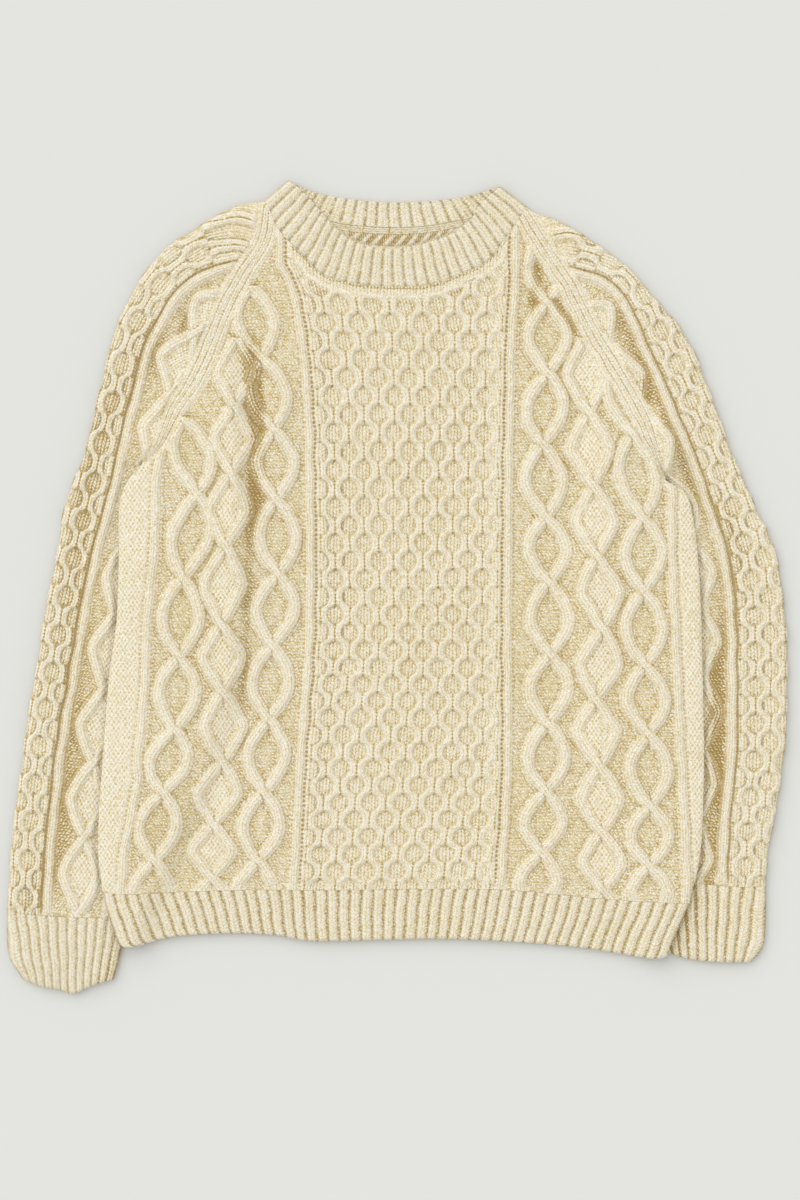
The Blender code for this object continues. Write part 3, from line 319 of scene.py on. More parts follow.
# %% Layers, lifts and folds
# The cloth's thickness, where the lower layer ends and the upper one starts, the level between them where the
# folds are, and the thickness of an edge.
WALL, LOWER_TOP, UPPER_FOOT, MIDDLE, EDGE = 3.0, 4.8, 5.2, 5.0, 0.8
THINNEST = 0.4  # over the edge's own thickness, at the foot of a crease
FOLD_ROUND = 11.0
LIFT, LIFT_SLOPE = 8.8, 27.0
DRAPE_TOP, DRAPE_FULL = 240.0, 118.0  # the lift grows from nothing to its whole height between these
LIFT_AT = {side: across(table) for side, table in LIFT_LINE.items()}


def drape(y):
    """How high the sleeve lifts the body's edge at this height of the sweater."""
    return LIFT * ease((DRAPE_TOP - y) / (DRAPE_TOP - DRAPE_FULL))


def lift(x, y):
    """How far the body is raised off the table by the sleeves beneath its sides."""
    left = (LIFT_AT["left"](y) + LIFT_SLOPE - x) / LIFT_SLOPE
    right = (x - LIFT_AT["right"](y) + LIFT_SLOPE) / LIFT_SLOPE
    return drape(y) * np.maximum(ease(left), ease(right))


def folded(points, lines):
    """1 over a layer, down to 0 at its folds, along a round edge."""
    apart = np.full(len(points), 1e3)
    for line in lines:
        near = np.abs(measured(points, spaced(line, 25.0))[1]) < FOLD_ROUND + 8
        if near.any():
            apart[near] = np.minimum(apart[near], np.abs(measured(points[near], line)[1]))
    return np.sqrt(np.clip(1 - np.clip(1 - apart / FOLD_ROUND, 0, 1) ** 2, 0, 1))


BODY_FOLDS = [smooth(table, 3.0) for table in (*SIDE.values(), *HEM_END.values())]
print("the front's left edge is lifted", lift(np.array([-265.0]), np.array([0.0])), "mm")

# %% [markdown]
# ## Soft folds
#
# Cloth that has been worn and laid down by hand is never flat. The largest creases are listed one by one,
# each with its own length, width and depth, where the sleeves turn down and where a panel has slack.
# Between them the cloth rolls slowly, which a few long waves give.

# %% Creases and slow waves
FOLDS = (  # from where to where, half the width, and the height, which is below 0 for a trough
    ((-206, 292), (-212, 250), 7.0, 3.0), ((-196, 268), (-204, 222), 6.0, -1.6),
    ((-176, 262), (-188, 226), 6.0, 2.4), ((246, 176), (262, 104), 8.0, 3.2),
    ((298, 10), (303, -246), 6.0, -1.8), ((117, 322), (124, 296), 5.0, 2.4),
    ((-92, -278), (-89, -325), 4.0, 1.6), ((-141, 252), (-128, 118), 10.0, -3.2),
    ((-129, 186), (-138, 20), 9.0, -2.0), ((-137, 70), (-147, -150), 7.0, -1.1),
    ((-162, 232), (-150, 120), 8.0, 2.8), ((-150, 150), (-160, 10), 8.0, 2.4),
    ((-112, 236), (-106, 60), 9.0, 1.8), ((132, 318), (128, 250), 6.0, -1.8),
    ((176, 306), (150, 268), 6.0, 1.8), ((138, 284), (178, 226), 4.5, -1.8),
    ((149, 288), (190, 224), 4.5, 1.4), ((203, 228), (222, 188), 7.0, 2.4),
    ((224, 204), (240, 168), 5.0, -2.0), ((238, 210), (262, 150), 7.0, 1.6),
)
FADE = 0.35  # of a crease's length, over which each of its ends runs out
DEEPEST = -1.9  # the cloth is too thick to sink further
VALLEY_SHADE, SHADE_FROM = 1.0, 0.4  # how much painted shade a trough gets with each millimetre, and from which depth


def creases(x, y):
    """The shade painted in the troughs, and the height of the creases and slow waves as thick cloth lets them
    be.
    """
    points = np.column_stack([x, y])
    # The slow waves are 12 to 36 cm long.
    high = 0.35 * np.sin(x / 41 + 0.7) * np.sin(y / 57 + 1.9) + 0.25 * np.sin(x / 23 - y / 31 + 0.4)
    for start, end, half_width, height in FOLDS:
        line = np.array([start, end], float)
        length = np.linalg.norm(line[1] - line[0])
        along, off = measured(points, line)
        fade = ease(along / (FADE * length)) * ease((length - along) / (FADE * length))
        high = high + height * fade * np.exp(-(off / half_width) ** 2)
    shade = VALLEY_SHADE * np.clip(-high - SHADE_FROM, 0, 4)
    return shade, np.where(high < 0, DEEPEST * np.tanh(high / DEEPEST), high)


def wobble(x, y, seed):
    """Hand knitting is never quite even: a stray of half a millimetre that changes from stitch to stitch."""
    a = np.sin(x / 9.1 + seed) * np.sin(y / 7.3 + 1.7 * seed) + 0.6 * np.sin(x / 4.7 - y / 5.9 + 3.1 * seed)
    return 0.42 * a + 0.5 * np.sin(x / 37 + y / 53 + seed)


print(len(FOLDS), "creases placed by hand")

# %% [markdown]
# ## Stitches
#
# Real knitting is a mesh of loops, far too many to model one by one over a whole sweater. What the eye sees
# are three textures: columns of small Vs (knit), rows of short waves (purl), and scattered dots (moss). So
# each point of the mesh remembers which of them it belongs to, where it is in the stitch, and how much shade
# is painted there, mostly from how deep it lies beneath its surroundings. The material draws the stitches
# from these numbers, and they follow every cable.
#
# A form, such as a rope, is laid over what is there already wherever it stands higher, just as it hides it.

# %% What is knitted at each point
TURN = 2 * np.pi
V_WIDE, V_TALL = 6.3, 3.3  # one knit stitch
PURL_WIDE, PURL_TALL = 3.6, 3.0
MOSS_WIDE, MOSS_TALL = 2.0, 3.05
KNIT, PURL, MOSS = (1, 0, 0), (0, 1, 0), (0, 0, 1)


class Knitting:
    """The highest form at each point, its kind of stitch, the place in the stitch and the shade to paint
    there.
    """

    def __init__(self, x, y):
        self.x, self.y = x, y
        self.high, self.shade = np.zeros_like(x), np.zeros_like(x)
        self.stitch = np.column_stack([x / PURL_WIDE, y / PURL_TALL])
        self.kind = np.tile(np.array(PURL, float), (len(x), 1))

    def lay(self, high, u, v, kind, where=True):
        """Lays a form wherever it stands higher than what is there."""
        over = where & (high > self.high)
        self.high = np.where(over, high, self.high)
        self.stitch = np.where(over[:, None], np.column_stack([u, v]), self.stitch)
        self.kind = np.where(over[:, None], kind, self.kind)


def back_of(d, half, power=2.2):
    """A rope's round back: 1 in the middle, 0 beyond half."""
    return np.clip(1 - np.abs(d / half) ** power, 0, 1)


print("a knit stitch is", V_WIDE, "x", V_TALL, "mm")

# %% [markdown]
# ## Cables
#
# A cable's two ropes cross, part and cross again. A wave cable swings like a sine; a diamond turns at
# corners, so its sine is drawn towards a zigzag, and moss stitch fills it. Where they cross one rope goes
# over the other.

# %% Cables
ROPE_HALF, ROPE_HIGH = 6.5, 3.9
SLIM_HALF, SLIM_HIGH = 5.2, 3.2
MOSS_HIGH = 1.0
EDGE_SHADE, CROSS_SHADE = 1.1, 1.0  # the painted shadow line along a rope's edge, and the painted shade where one goes over the other
OVER, UNDER = 0.9, -1.1  # what the one rope rises and the other sinks by where they cross
CORNER = 0.985  # how nearly a diamond's corner is a point


def swung(wave, sharp):
    """A sine drawn towards a zigzag by how sharp its corners are."""
    return sharp * np.arcsin(CORNER * wave) / np.arcsin(CORNER) + (1 - sharp) * wave


def lay_rope(knitting, d, along, half, high, kind=KNIT):
    """A rope as wide as two knit stitches, by how far off its middle and how far along it a point lies."""
    own, under = high * back_of(d, half), knitting.high
    over = (np.abs(d) < half) & (own > under)
    knitting.lay(own, d / half, along / V_TALL, kind, over)
    # Painted shadow: a dotted line along the rope's edge, fullest on its right side, and painted shade where
    # it crosses over another rope.
    dots = 0.6 + 0.4 * np.cos(TURN * along / V_TALL)
    shadowed_side = np.where(d > 0, 1.0, 0.45)
    line = EDGE_SHADE * dots * shadowed_side * np.exp(-((np.abs(d) - half + 0.3) / 0.9) ** 2)
    crossed = CROSS_SHADE * np.exp(-((own - under) / 0.45) ** 2) * (np.minimum(own, under) > 1.3)
    beside = np.maximum(knitting.shade, np.where(under < 1.5, line, crossed))
    knitting.shade = np.where(over, line + crossed, beside)


class Cable:
    """Two ropes that cross at each row of a table and swing apart between."""

    def __init__(self, crossings, swing, sharp, top=None):
        rows = np.array(crossings, float)
        rows = np.vstack([2 * rows[0] - rows[1] if top is None else top, rows, 2 * rows[-1] - rows[-2]])
        self.middle = across(rows)
        self.rows, self.turns = rows[::-1, 1], np.arange(len(rows))[::-1]
        self.reach, self.sharp = swing, sharp
        self.heights = np.arange(self.rows[0], self.rows[-1], 1.0)

    def swing(self, y):
        """How far each rope is from the cable's middle."""
        return self.reach * swung(np.sin(np.pi * np.interp(y, self.rows, self.turns)), self.sharp)

    def lay(self, knitting):
        """Lays the moss stitch inside a diamond, then both ropes, the one that leans left over the other."""
        x, y = knitting.x, knitting.y
        here = (y > self.rows[0]) & (y < self.rows[-1])
        swing = self.swing(y)
        if self.sharp:
            inside = np.abs(x - self.middle(y)) < np.abs(swing)
            knitting.lay(np.full(len(x), MOSS_HIGH), x / MOSS_WIDE, y / MOSS_TALL, MOSS, here & inside)
        near = 1 - np.clip(np.abs(swing) / ROPE_HALF, 0, 1)
        for side in (-1, 1):
            at = self.middle(y) + side * swing
            lean = self.middle(y + 1) + side * self.swing(y + 1) - at
            stretch = np.sqrt(1 + lean**2)
            rope = self.middle(self.heights) + side * self.swing(self.heights)
            run = np.cumsum(np.hypot(np.gradient(rope), 1))
            along = np.interp(y + (x - at) * lean / stretch**2, self.heights, run)
            over = np.where(lean < 0, OVER, UNDER) * near
            d = np.where(here, (x - at) / stretch, 99)
            lay_rope(knitting, d, along, ROPE_HALF, ROPE_HIGH + over)


FRONT_CABLES = [Cable(**cable) for cable in CABLES]
print(len(FRONT_CABLES), "cables on the front")

# %% [markdown]
# ## Honeycomb
#
# Honeycomb is many slim ropes side by side. In one row each leans on its left neighbour, in the next on its
# right, so they open round little pits and close along slits. The pits show plain knitting.

# %% Honeycomb
COMB_HIGH, PIT_HIGH, PIT_DOME = 3.6, 1.0, 0.3
PIT_HALF_WIDE, PIT_HALF_TALL = 0.53, 0.50  # as shares of the ropes' spacing and of a row
PIT_SHOULDER, SLIT_SHOULDER, SLIT_DEEP = 3.2, 1.8, 0.20
# Painted shade over the pits and along the slits, and how wide a slit's shade is.
PIT_SHADE, SLIT_SHADE, SLIT_HALF = 0.5, 2.2, 0.9
EDGE_PIT, EDGE_SHOULDER = 1.4, 2.5  # the comb's outermost pits are shallow, and its edge is round
COMB_TABLE = np.array(COMB_ROWS[::-1] + ((-4, 351.0),))
LINES = {name: across(table) for name, table in BORDERS.items()}


def shoulder(d, reach):
    """0 at an edge, up a round shoulder to 1."""
    return 1 - (1 - np.clip(d / reach, 0, 1)) ** 2


def lay_comb(knitting, off, margin, row, spacing, row_tall, count, along):
    """Honeycomb by how far off its slim rope and how many rows down a point lies."""
    ropes_over = (off - margin) / spacing
    from_edge = np.minimum(ropes_over, count - ropes_over)
    spare = margin - SLIM_HALF - 1.0
    where = from_edge * spacing > -spare
    half_wide, half_tall = PIT_HALF_WIDE * spacing, PIT_HALF_TALL * row_tall
    to_pit, gaps, slit = np.full(len(row), 99.0), [], np.full(len(row), 99.0)
    for k in (0, 1):
        slit_number = np.floor(ropes_over) + k
        odd = (slit_number + 1) % 2
        down = (row - 2 * np.round((row - odd) / 2) - odd) * row_tall
        over = (ropes_over - slit_number) * spacing
        reach = np.hypot(over / half_wide, down / half_tall)
        to_pit = np.minimum(to_pit, (reach - 1) * (half_wide + half_tall) / 2)
        gaps.append(half_wide * np.sqrt(np.clip(1 - (down / half_tall) ** 2, 0, 1)))
        slit = np.minimum(slit, np.abs(over))
    middle = np.floor(ropes_over) * spacing + (spacing + gaps[0] - gaps[1]) / 2
    d = ropes_over * spacing - middle
    floor = PIT_HIGH + PIT_DOME * np.clip(-to_pit / 4, 0, 1) + EDGE_PIT * (1 - ease(from_edge))
    knitting.lay(floor, ropes_over * spacing / V_WIDE, along / V_TALL, KNIT, where & (to_pit < 0.3))
    top = np.minimum(PIT_HIGH + (COMB_HIGH - PIT_HIGH) * shoulder(to_pit, PIT_SHOULDER),
                     COMB_HIGH * (1 - SLIT_DEEP * (1 - shoulder(slit, SLIT_SHOULDER))))
    top = np.maximum(top, floor) * (0.4 + 0.6 * shoulder(from_edge * spacing + spare, EDGE_SHOULDER))
    u = np.floor(ropes_over) + 0.5 + d / V_WIDE
    knitting.lay(top, u, along / V_TALL, KNIT, where & (to_pit > 0))
    # Painted shade over the pits, and in dots along the slits and at their ends.
    dots = 0.6 + 0.4 * np.cos(TURN * along / V_TALL) + 0.8 * np.exp(-((to_pit - 1.0) / 1.2) ** 2)
    shade = np.where(to_pit > 0, SLIT_SHADE * dots * np.exp(-(slit / SLIT_HALF) ** 2), PIT_SHADE)
    knitting.shade = np.where(where, shade, knitting.shade)


print("front honeycomb:", COMB_ROPES, "ropes,", COMB_ROWS[-1][0], "rows")

# %% [markdown]
# ## The front and the sleeves
#
# With these forms each panel is laid out strip by strip. The sleeve's strips follow its slim rope, which
# runs down the middle of what shows, so they are measured along it and off to its sides. Along each raglan
# seam the stitches taken off leave columns of knit stitches, on both sides of it.

# %% What the panels are knitted of
FRONT_ROW = 16.6  # a honeycomb row
NECK_PLAIN = 9.0  # plain knitting under the neckband
CHAIN_SHADE, CHAIN_AT = 1.6, 1.5  # the shade painted along the chain under the neckband's seam, and how far from the seam it runs
PLAIN_SHADE = 0.35  # painted shade on the plain knitting there
SLEEVE_OVER = 0.8  # what a sleeve's ropes rise and sink by where they cross
SWUNG_LONGER = 1.08  # times its middle's length, the length of a rope that swings
GROOVE_SHADE, GROOVE_HIGH, GROOVE_TALL = 2.3, 1.6, 4.2  # the dotted grooves beside the slim ropes: their painted shade, their bank's height and the dots' spacing
OUTSIDE_COMB = 0.45  # how strong they are outside the honeycomb
RAGLAN_HIGH, RAGLAN_HALF, RAGLAN_STITCH = 1.8, 5.7, 5.7
# Painted shade in the grooves between the raglan band's columns.
RAGLAN_SHADE = 1.1
RAGLAN_TAPER = 75.0  # the columns draw together over this much of the seam above the underarm
RIB_MEETS, RIB_REACH = 0.35, 12.0  # a rope's share of its height at ribbing, and how soon it has all of it
RAGLAN_SEAMS = {side: smooth(table, 6.0) for side, table in RAGLAN.items()}


def lay_raglan(knitting, side):
    """The band beside one raglan seam. It narrows to the underarm, and what it covers fades out."""
    line = RAGLAN_SEAMS[side]
    along, off = measured(np.column_stack([knitting.x, knitting.y]), line)
    length = steps_of(line).sum()
    narrow = 0.35 + 0.65 * ease((length - along) / RAGLAN_TAPER)
    off = np.abs(off) / narrow
    past = np.clip(1 - (length - along) / 3.0, 0, 1)
    knitting.high = knitting.high * np.maximum(ease((off - RAGLAN_HALF) / 9), past)
    high = RAGLAN_HIGH * narrow * (1 - past) * back_of(np.maximum(off - RAGLAN_HALF, 0), RAGLAN_HALF, 3.0)
    high = high * (0.8 + 0.2 * np.cos(TURN * (off / RAGLAN_STITCH - 0.5)))
    knitting.lay(high, off / RAGLAN_STITCH, -along / V_TALL, KNIT, off < 2 * RAGLAN_HALF)
    # Painted shade in dots along the grooves between the band's columns.
    dots = 0.7 + 0.3 * np.cos(TURN * along / V_TALL)
    from_groove = off - RAGLAN_STITCH * np.round(off / RAGLAN_STITCH)
    groove_shade = np.exp(-(from_groove / 0.8) ** 2) * (off < 2.2 * RAGLAN_HALF)
    uneven = 0.7 + 0.3 * np.sin(along / 13 + off / 3)
    kept = knitting.shade * ease((off - 2 * RAGLAN_HALF) / 6)
    knitting.shade = kept + RAGLAN_SHADE * dots * groove_shade * uneven * (1 - past)


def flattened(knitting, points, line):
    """Lets the forms sink towards a line of ribbing."""
    apart = np.abs(measured(points, line)[1])
    knitting.high = knitting.high * (RIB_MEETS + (1 - RIB_MEETS) * ease(apart / RIB_REACH))


def body_knitting(x, y, neck):
    """The front at these points, or the back seen from its right side."""
    x, y = x + wobble(x, y, 0.3), y + wobble(x, y, 2.1)
    knitting = Knitting(x, y)
    for cable in FRONT_CABLES:
        cable.lay(knitting)
    left, right = LINES["inner_left"](y), LINES["inner_right"](y)
    spacing = (right - left - 2 * COMB_MARGIN) / COMB_ROPES
    row = np.interp(y, COMB_TABLE[:, 1], COMB_TABLE[:, 0])
    lay_comb(knitting, x - left, COMB_MARGIN, row, spacing, FRONT_ROW, COMB_ROPES, y)
    from_neck = np.full(len(x), 99.0)
    upper = (y > 260) & (x > left + 9) & (x < right - 9)
    from_neck[upper] = np.abs(measured(np.column_stack([x, y])[upper], neck)[1])
    below_band, fill = from_neck < NECK_PLAIN, ease((NECK_PLAIN + 6 - from_neck) / 6)
    knitting.high = knitting.high + (COMB_HIGH - 0.3 - knitting.high) * fill
    knitting.lay(knitting.high + 0.01, x / V_WIDE, y / V_TALL, KNIT, below_band)
    # Painted shade along the chain under the neckband and over the plain knitting below it.
    chain = CHAIN_SHADE * np.exp(-(from_neck - CHAIN_AT) ** 2)
    knitting.shade = knitting.shade * (1 - fill) + PLAIN_SHADE * fill + chain
    for line in LINES.values():
        lay_rope(knitting, x - line(y), y, SLIM_HALF, SLIM_HIGH)
        strong = np.where((x > left) & (x < right), 1.0, OUTSIDE_COMB)
        row = np.cos(TURN * y / GROOVE_TALL + 1.2 * np.sin(y / 23))
        off = np.abs(x - line(y)) + 0.3 * row
        bank = GROOVE_HIGH * strong * ease((SLIM_HALF + 3.5 - off) / 3) * (0.5 - 0.5 * row)
        knitting.high = np.maximum(knitting.high, bank)
        # Painted shade in dots along the grooves beside the slim rope.
        dots = GROOVE_SHADE * strong * (0.5 + 0.5 * row) * (0.75 + 0.25 * np.sin(y / 19))
        groove_shade = dots * np.exp(-((off - SLIM_HALF) / 1.1) ** 2)
        knitting.shade = np.where(off < SLIM_HALF + 2, groove_shade, knitting.shade)
    beyond = (x < LINES["outer_left"](y) - 7) | (x > LINES["outer_right"](y) + 7)
    knitting.lay(np.full(len(x), MOSS_HIGH), x / MOSS_WIDE, y / MOSS_TALL, MOSS, beyond)
    for side in RAGLAN:
        lay_raglan(knitting, side)
    flattened(knitting, np.column_stack([x, y]), smooth(HEM_SEAM, 12.0))
    return knitting


def sleeve_swing(along, side):
    """How far the ropes of a sleeve's diamonds are from their middle."""
    pattern = SLEEVE_PATTERN[side]
    wave = np.cos(np.pi * (along - pattern["widest"]) / pattern["diamond"])
    return SLEEVE_DIAMOND_SWING * swung(wave, SLEEVE_SHARP)


def sleeve_knitting(x, y, side):
    """A sleeve at these points."""
    x, y = x + wobble(x, y, 1.3), y + wobble(x, y, 4.4)
    knitting = Knitting(x, y)
    along, off = measured(np.column_stack([x, y]), smooth(SLEEVE_ROPE[side], 5.0))
    off = off if side == "left" else -off
    turned = np.column_stack([off / PURL_WIDE, -along / PURL_TALL])
    knitting.stitch = np.where(off[:, None] > -SLEEVE_STRIPS, turned, knitting.stitch)
    pattern = SLEEVE_PATTERN[side]
    rows = np.array(pattern["rows"])
    row = np.interp(along, rows[:, 0], rows[:, 1])
    row_tall = (rows[-1, 0] - rows[0, 0]) / (rows[-1, 1] - rows[0, 1])
    lay_comb(knitting, off, SLEEVE_COMB_MARGIN, row, pattern["spacing"], row_tall, SLEEVE_COMB_ROPES, -along)
    swing = sleeve_swing(along, side)
    moss = np.abs(off + SLEEVE_DIAMOND_SIDE) < np.abs(swing)
    knitting.lay(np.full(len(x), MOSS_HIGH), off / MOSS_WIDE, -along / MOSS_TALL, MOSS, moss)
    lean = sleeve_swing(along + 1, side) - swing
    near = 1 - np.clip(np.abs(swing) / ROPE_HALF, 0, 1)
    for way in (-1, 1):
        d = (off + SLEEVE_DIAMOND_SIDE + way * swing) / np.sqrt(1 + lean**2)
        over = np.where(way * lean < 0, SLEEVE_OVER, -SLEEVE_OVER) * near
        lay_rope(knitting, d, -along * SWUNG_LONGER, ROPE_HALF, ROPE_HIGH + over)
    lay_rope(knitting, off, -along, SLIM_HALF, SLIM_HIGH)
    lay_raglan(knitting, side)
    flattened(knitting, np.column_stack([x, y]), smooth(CUFF_SEAM[side], 12.0))
    return knitting


print("strips ready:", ", ".join(LINES))

# %% [markdown]
# ## Meshes of points and triangles
#
# A panel's face is a field of points 1.25 mm apart, filled in by a Delaunay triangulation that keeps to the
# outline. A subdivided grid would do for a rectangle, but here the outline is a curve on all sides, and
# this way the mesh follows it exactly. The wall is closed by the same outline on its other face, which is
# plain and needs few points. A blurred copy of the heights tells how deep each point lies, which sets the
# shade painted into the wool's colour.

# %% Meshes
PLAIN_STEP = 9.0
GRID_CELL, GRID_REACH = 0.4, 450.0  # the grid of squares that finds points near an outline
HOLLOW_ROUNDS = (4, 26)  # of averaging with the neighbours: a near and a far reach of the blur
# How much shade is painted where the form stands steeply.
STEEP_SHADE = 2.0
MOST_CHANGE = 1.5  # stitches from a point to the next, where a stitch runs on


def lattice(step, low, high):
    """A field of points between two corners, every second row moved over by half a step."""
    x, y = np.meshgrid(np.arange(low[0], high[0], step), np.arange(low[1], high[1], step * np.sqrt(0.75)))
    x = x + np.where(np.arange(len(x)) % 2 == 0, 0, step / 2)[:, None]
    return np.column_stack([x.ravel(), y.ravel()])


def inside(points, outline, margin):
    """The points that lie inside an outline and not too near its line."""
    ring = np.vstack([outline, outline[:1]])
    (x0, y0), (x1, y1) = ring[:-1].T, ring[1:].T
    slope = (x1 - x0) / np.where(y1 == y0, 1, y1 - y0)
    odd = np.zeros(len(points), bool)
    for first in range(0, len(points), BATCH):
        rows = slice(first, first + BATCH)
        x, y = points[rows, :1], points[rows, 1:]
        crossed = ((y0 > y) != (y1 > y)) & (x < slope * (y - y0) + x0)
        odd[rows] = crossed.sum(axis=1) % 2 == 1
    near = np.zeros((int(2 * GRID_REACH / GRID_CELL),) * 2, bool)
    column, line = ((spaced(ring, GRID_CELL) + GRID_REACH) / GRID_CELL).astype(int).T
    wide = int(np.ceil(margin / GRID_CELL))
    for i in range(-wide, wide + 1):
        for j in range(-wide, wide + 1):
            if i * i + j * j <= wide * wide:
                near[column + i, line + j] = True
    at = ((points + GRID_REACH) / GRID_CELL).astype(int)
    return points[odd & ~near[at[:, 0], at[:, 1]]]


def filled(outline, inner):
    """Triangles that fill an outline through the inner points, all turning left."""
    points = np.vstack([outline, inner])
    found = delaunay_2d_cdt([Vector(p) for p in points], [], [list(range(len(outline)))], 1, 1e-4)
    first = np.array([origin[0] for origin in found[3]])
    faces = first[np.array(found[2])]
    a, b, c = (points[faces[:, i]] for i in range(3))
    turn = (b[:, 0] - a[:, 0]) * (c[:, 1] - a[:, 1]) - (b[:, 1] - a[:, 1]) * (c[:, 0] - a[:, 0])
    faces[turn < 0] = faces[turn < 0][:, ::-1]
    return points, faces[turn != 0]


def sides_of(faces):
    """The triangles' sides, each as the numbers of its two points."""
    return np.concatenate([faces[:, [0, 1]], faces[:, [1, 2]], faces[:, [2, 0]]])


def hollows(z, faces):
    """How far each point lies below the mean of its near and its far surroundings."""
    ends = sides_of(faces)
    count = np.bincount(ends[:, 0], minlength=len(z)) + 1.0
    mean, deep = z.copy(), -z
    for turn in range(1, max(HOLLOW_ROUNDS) + 1):
        mean = (mean + np.bincount(ends[:, 0], weights=mean[ends[:, 1]], minlength=len(z))) / count
        if turn in HOLLOW_ROUNDS:
            deep = deep + mean / len(HOLLOW_ROUNDS)
    return deep


def steepness(points, faces):
    """How steep the form is at each point: 0 where it lies flat, 1 where it stands upright."""
    a, b, c = (points[faces[:, i]] for i in range(3))
    facing = np.cross(b - a, c - a)
    at, count = faces.ravel(), len(points)
    total = np.column_stack([np.bincount(at, np.repeat(facing[:, i], 3), count) for i in range(3)])
    return 1 - np.abs(total[:, 2]) / np.maximum(np.linalg.norm(total, axis=1), 1e-9)


def steady(stitch, kind, faces):
    """1 at each point whose stitch runs on into its neighbours', 0 where one form ends and another begins."""
    ends = sides_of(faces)
    one, other = ends.T
    jumps = np.abs(stitch[one] - stitch[other]).max(axis=1) > MOST_CHANGE
    changes = (kind[one] != kind[other]).any(axis=1)
    still = np.ones(len(stitch))
    still[ends[jumps | changes].ravel()] = 0
    return still


class Face:
    """One face of a panel: its points, heights, triangles and what is knitted there."""

    def __init__(self, outline, inner, worked):
        self.flat, self.faces = filled(outline, inner)
        z, knitting = worked(self.flat[:, 0], self.flat[:, 1])
        self.points = np.column_stack([self.flat, z])
        form = np.column_stack([self.flat, knitting.high])
        # How much shade is painted at each point: in hollows, on steep slopes, and where the knitting adds
        # it.
        deep = hollows(knitting.high, self.faces) + STEEP_SHADE * steepness(form, self.faces)
        deep = deep + knitting.shade
        self.stitch = np.column_stack([knitting.stitch, deep])
        self.kind = knitting.kind * steady(knitting.stitch, knitting.kind, self.faces)[:, None]


def field(outline, step):
    """Points a step apart all over an outline."""
    return inside(lattice(step, outline.min(axis=0), outline.max(axis=0)), outline, 0.45 * step)


def plain(x, y):
    """The purl side of the cloth, where nothing is worked."""
    return Knitting(x, y)


print("points of a worked face are", STEP, "mm apart")

# %% [markdown]
# ## From faces to a Blender object
#
# Faces are joined into one closed shell. What the material needs rides on the points as two attributes, the
# place in the stitch with the amount of painted shade, and the kind of stitch, because attributes move with
# the mesh.

# %% Objects
class Shell:
    """A closed shell put together from parts, in millimetres."""

    def __init__(self):
        self.points, self.stitch, self.kind, self.faces, self.hard, self.count = [], [], [], [], [], 0

    def add(self, points, stitch, kind, faces):
        """Adds points, and faces that name them from 0, and gives the points' numbers in the shell."""
        self.points.append(points)
        self.stitch.append(stitch)
        self.kind.append(kind)
        if len(faces):
            self.faces.append(faces + self.count)
        self.count += len(points)
        return np.arange(len(points)) + self.count - len(points)

    def face(self, face, turned=False, shared=None, at=None):
        """A face. Where at says so, its outline's points are those of shared, an earlier face."""
        index = self.add(face.points, face.stitch, face.kind, ())
        if shared is not None:
            index[:len(at)] = np.where(at, shared[:len(at)], index[:len(at)])
        self.faces.append(index[face.faces[:, ::-1] if turned else face.faces])
        return index

    def strip(self, upper, lower):
        """A band of triangles between two closed rows of points."""
        a, b = upper, np.roll(upper, -1)
        c, d = np.roll(lower, -1), lower
        self.faces += [np.column_stack([a, d, c]), np.column_stack([a, c, b])]

    def keep_hard(self, row):
        """Keeps the edges along a row of points hard, so that no shading runs over them."""
        self.hard.append(np.column_stack([row[:-1], row[1:]]))

    def object(self, name, material):
        """The shell as a Blender object."""
        points = np.vstack(self.points) - (*SHIFT, 0)
        faces = np.vstack(self.faces)
        a, b, c = (points[faces[:, i]] for i in range(3))
        if (a * np.cross(b, c)).sum() < 0:
            faces = faces[:, ::-1]
        used, index = np.unique(faces, return_inverse=True)
        mesh = bpy.data.meshes.new(name)
        mesh.vertices.add(len(used))
        mesh.vertices.foreach_set("co", (points[used] * MM).ravel())
        mesh.loops.add(faces.size)
        mesh.loops.foreach_set("vertex_index", index.ravel())
        mesh.polygons.add(len(faces))
        mesh.polygons.foreach_set("loop_start", np.arange(0, faces.size, 3))
        mesh.update(calc_edges=True)
        # The stitch attribute holds the place in the stitch and, third, how much shade is painted there.
        for title, rows in (("stitch", self.stitch), ("kind", self.kind)):
            layer = mesh.attributes.new(title, "FLOAT_VECTOR", "POINT")
            layer.data.foreach_set("vector", np.vstack(rows)[used].ravel())
        mesh.materials.append(material)
        mesh.shade_smooth()
        if self.hard:
            place = np.full(self.count, -1)
            place[used] = np.arange(len(used))
            pairs = np.sort(place[np.vstack(self.hard)], axis=1)
            ends = np.empty(2 * len(mesh.edges), int)
            mesh.edges.foreach_get("vertices", ends)
            ends = np.sort(ends.reshape(-1, 2), axis=1)
            layer = mesh.attributes.new("sharp_edge", "BOOLEAN", "EDGE")
            layer.data.foreach_set("value", np.isin(ends @ (len(used), 1), pairs @ (len(used), 1)))
        made = bpy.data.objects.new(name, mesh)
        bpy.context.scene.collection.objects.link(made)
        print(f"{name}: {len(faces)} triangles")
        return made


def wall(outline, top, under, points=None, under_step=PLAIN_STEP):
    """A closed wall over an outline, from its worked face, through the points, to its other one."""
    shell = Shell()
    upper = shell.face(Face(outline, field(outline, STEP) if points is None else points, top))
    lower = shell.face(Face(outline, field(outline, under_step), under), turned=True)
    rim = np.arange(len(outline))
    if area(outline) < 0:
        rim = rim[::-1]
    shell.strip(upper[rim], lower[rim])
    shell.keep_hard(np.append(upper[rim], upper[rim[0]]))
    return shell


def dress(piece, solid):
    """Parents a piece to the root and hides the solid that it stands for."""
    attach(piece, "root")
    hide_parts(solid)


print("shells carry two attributes, stitch and kind")
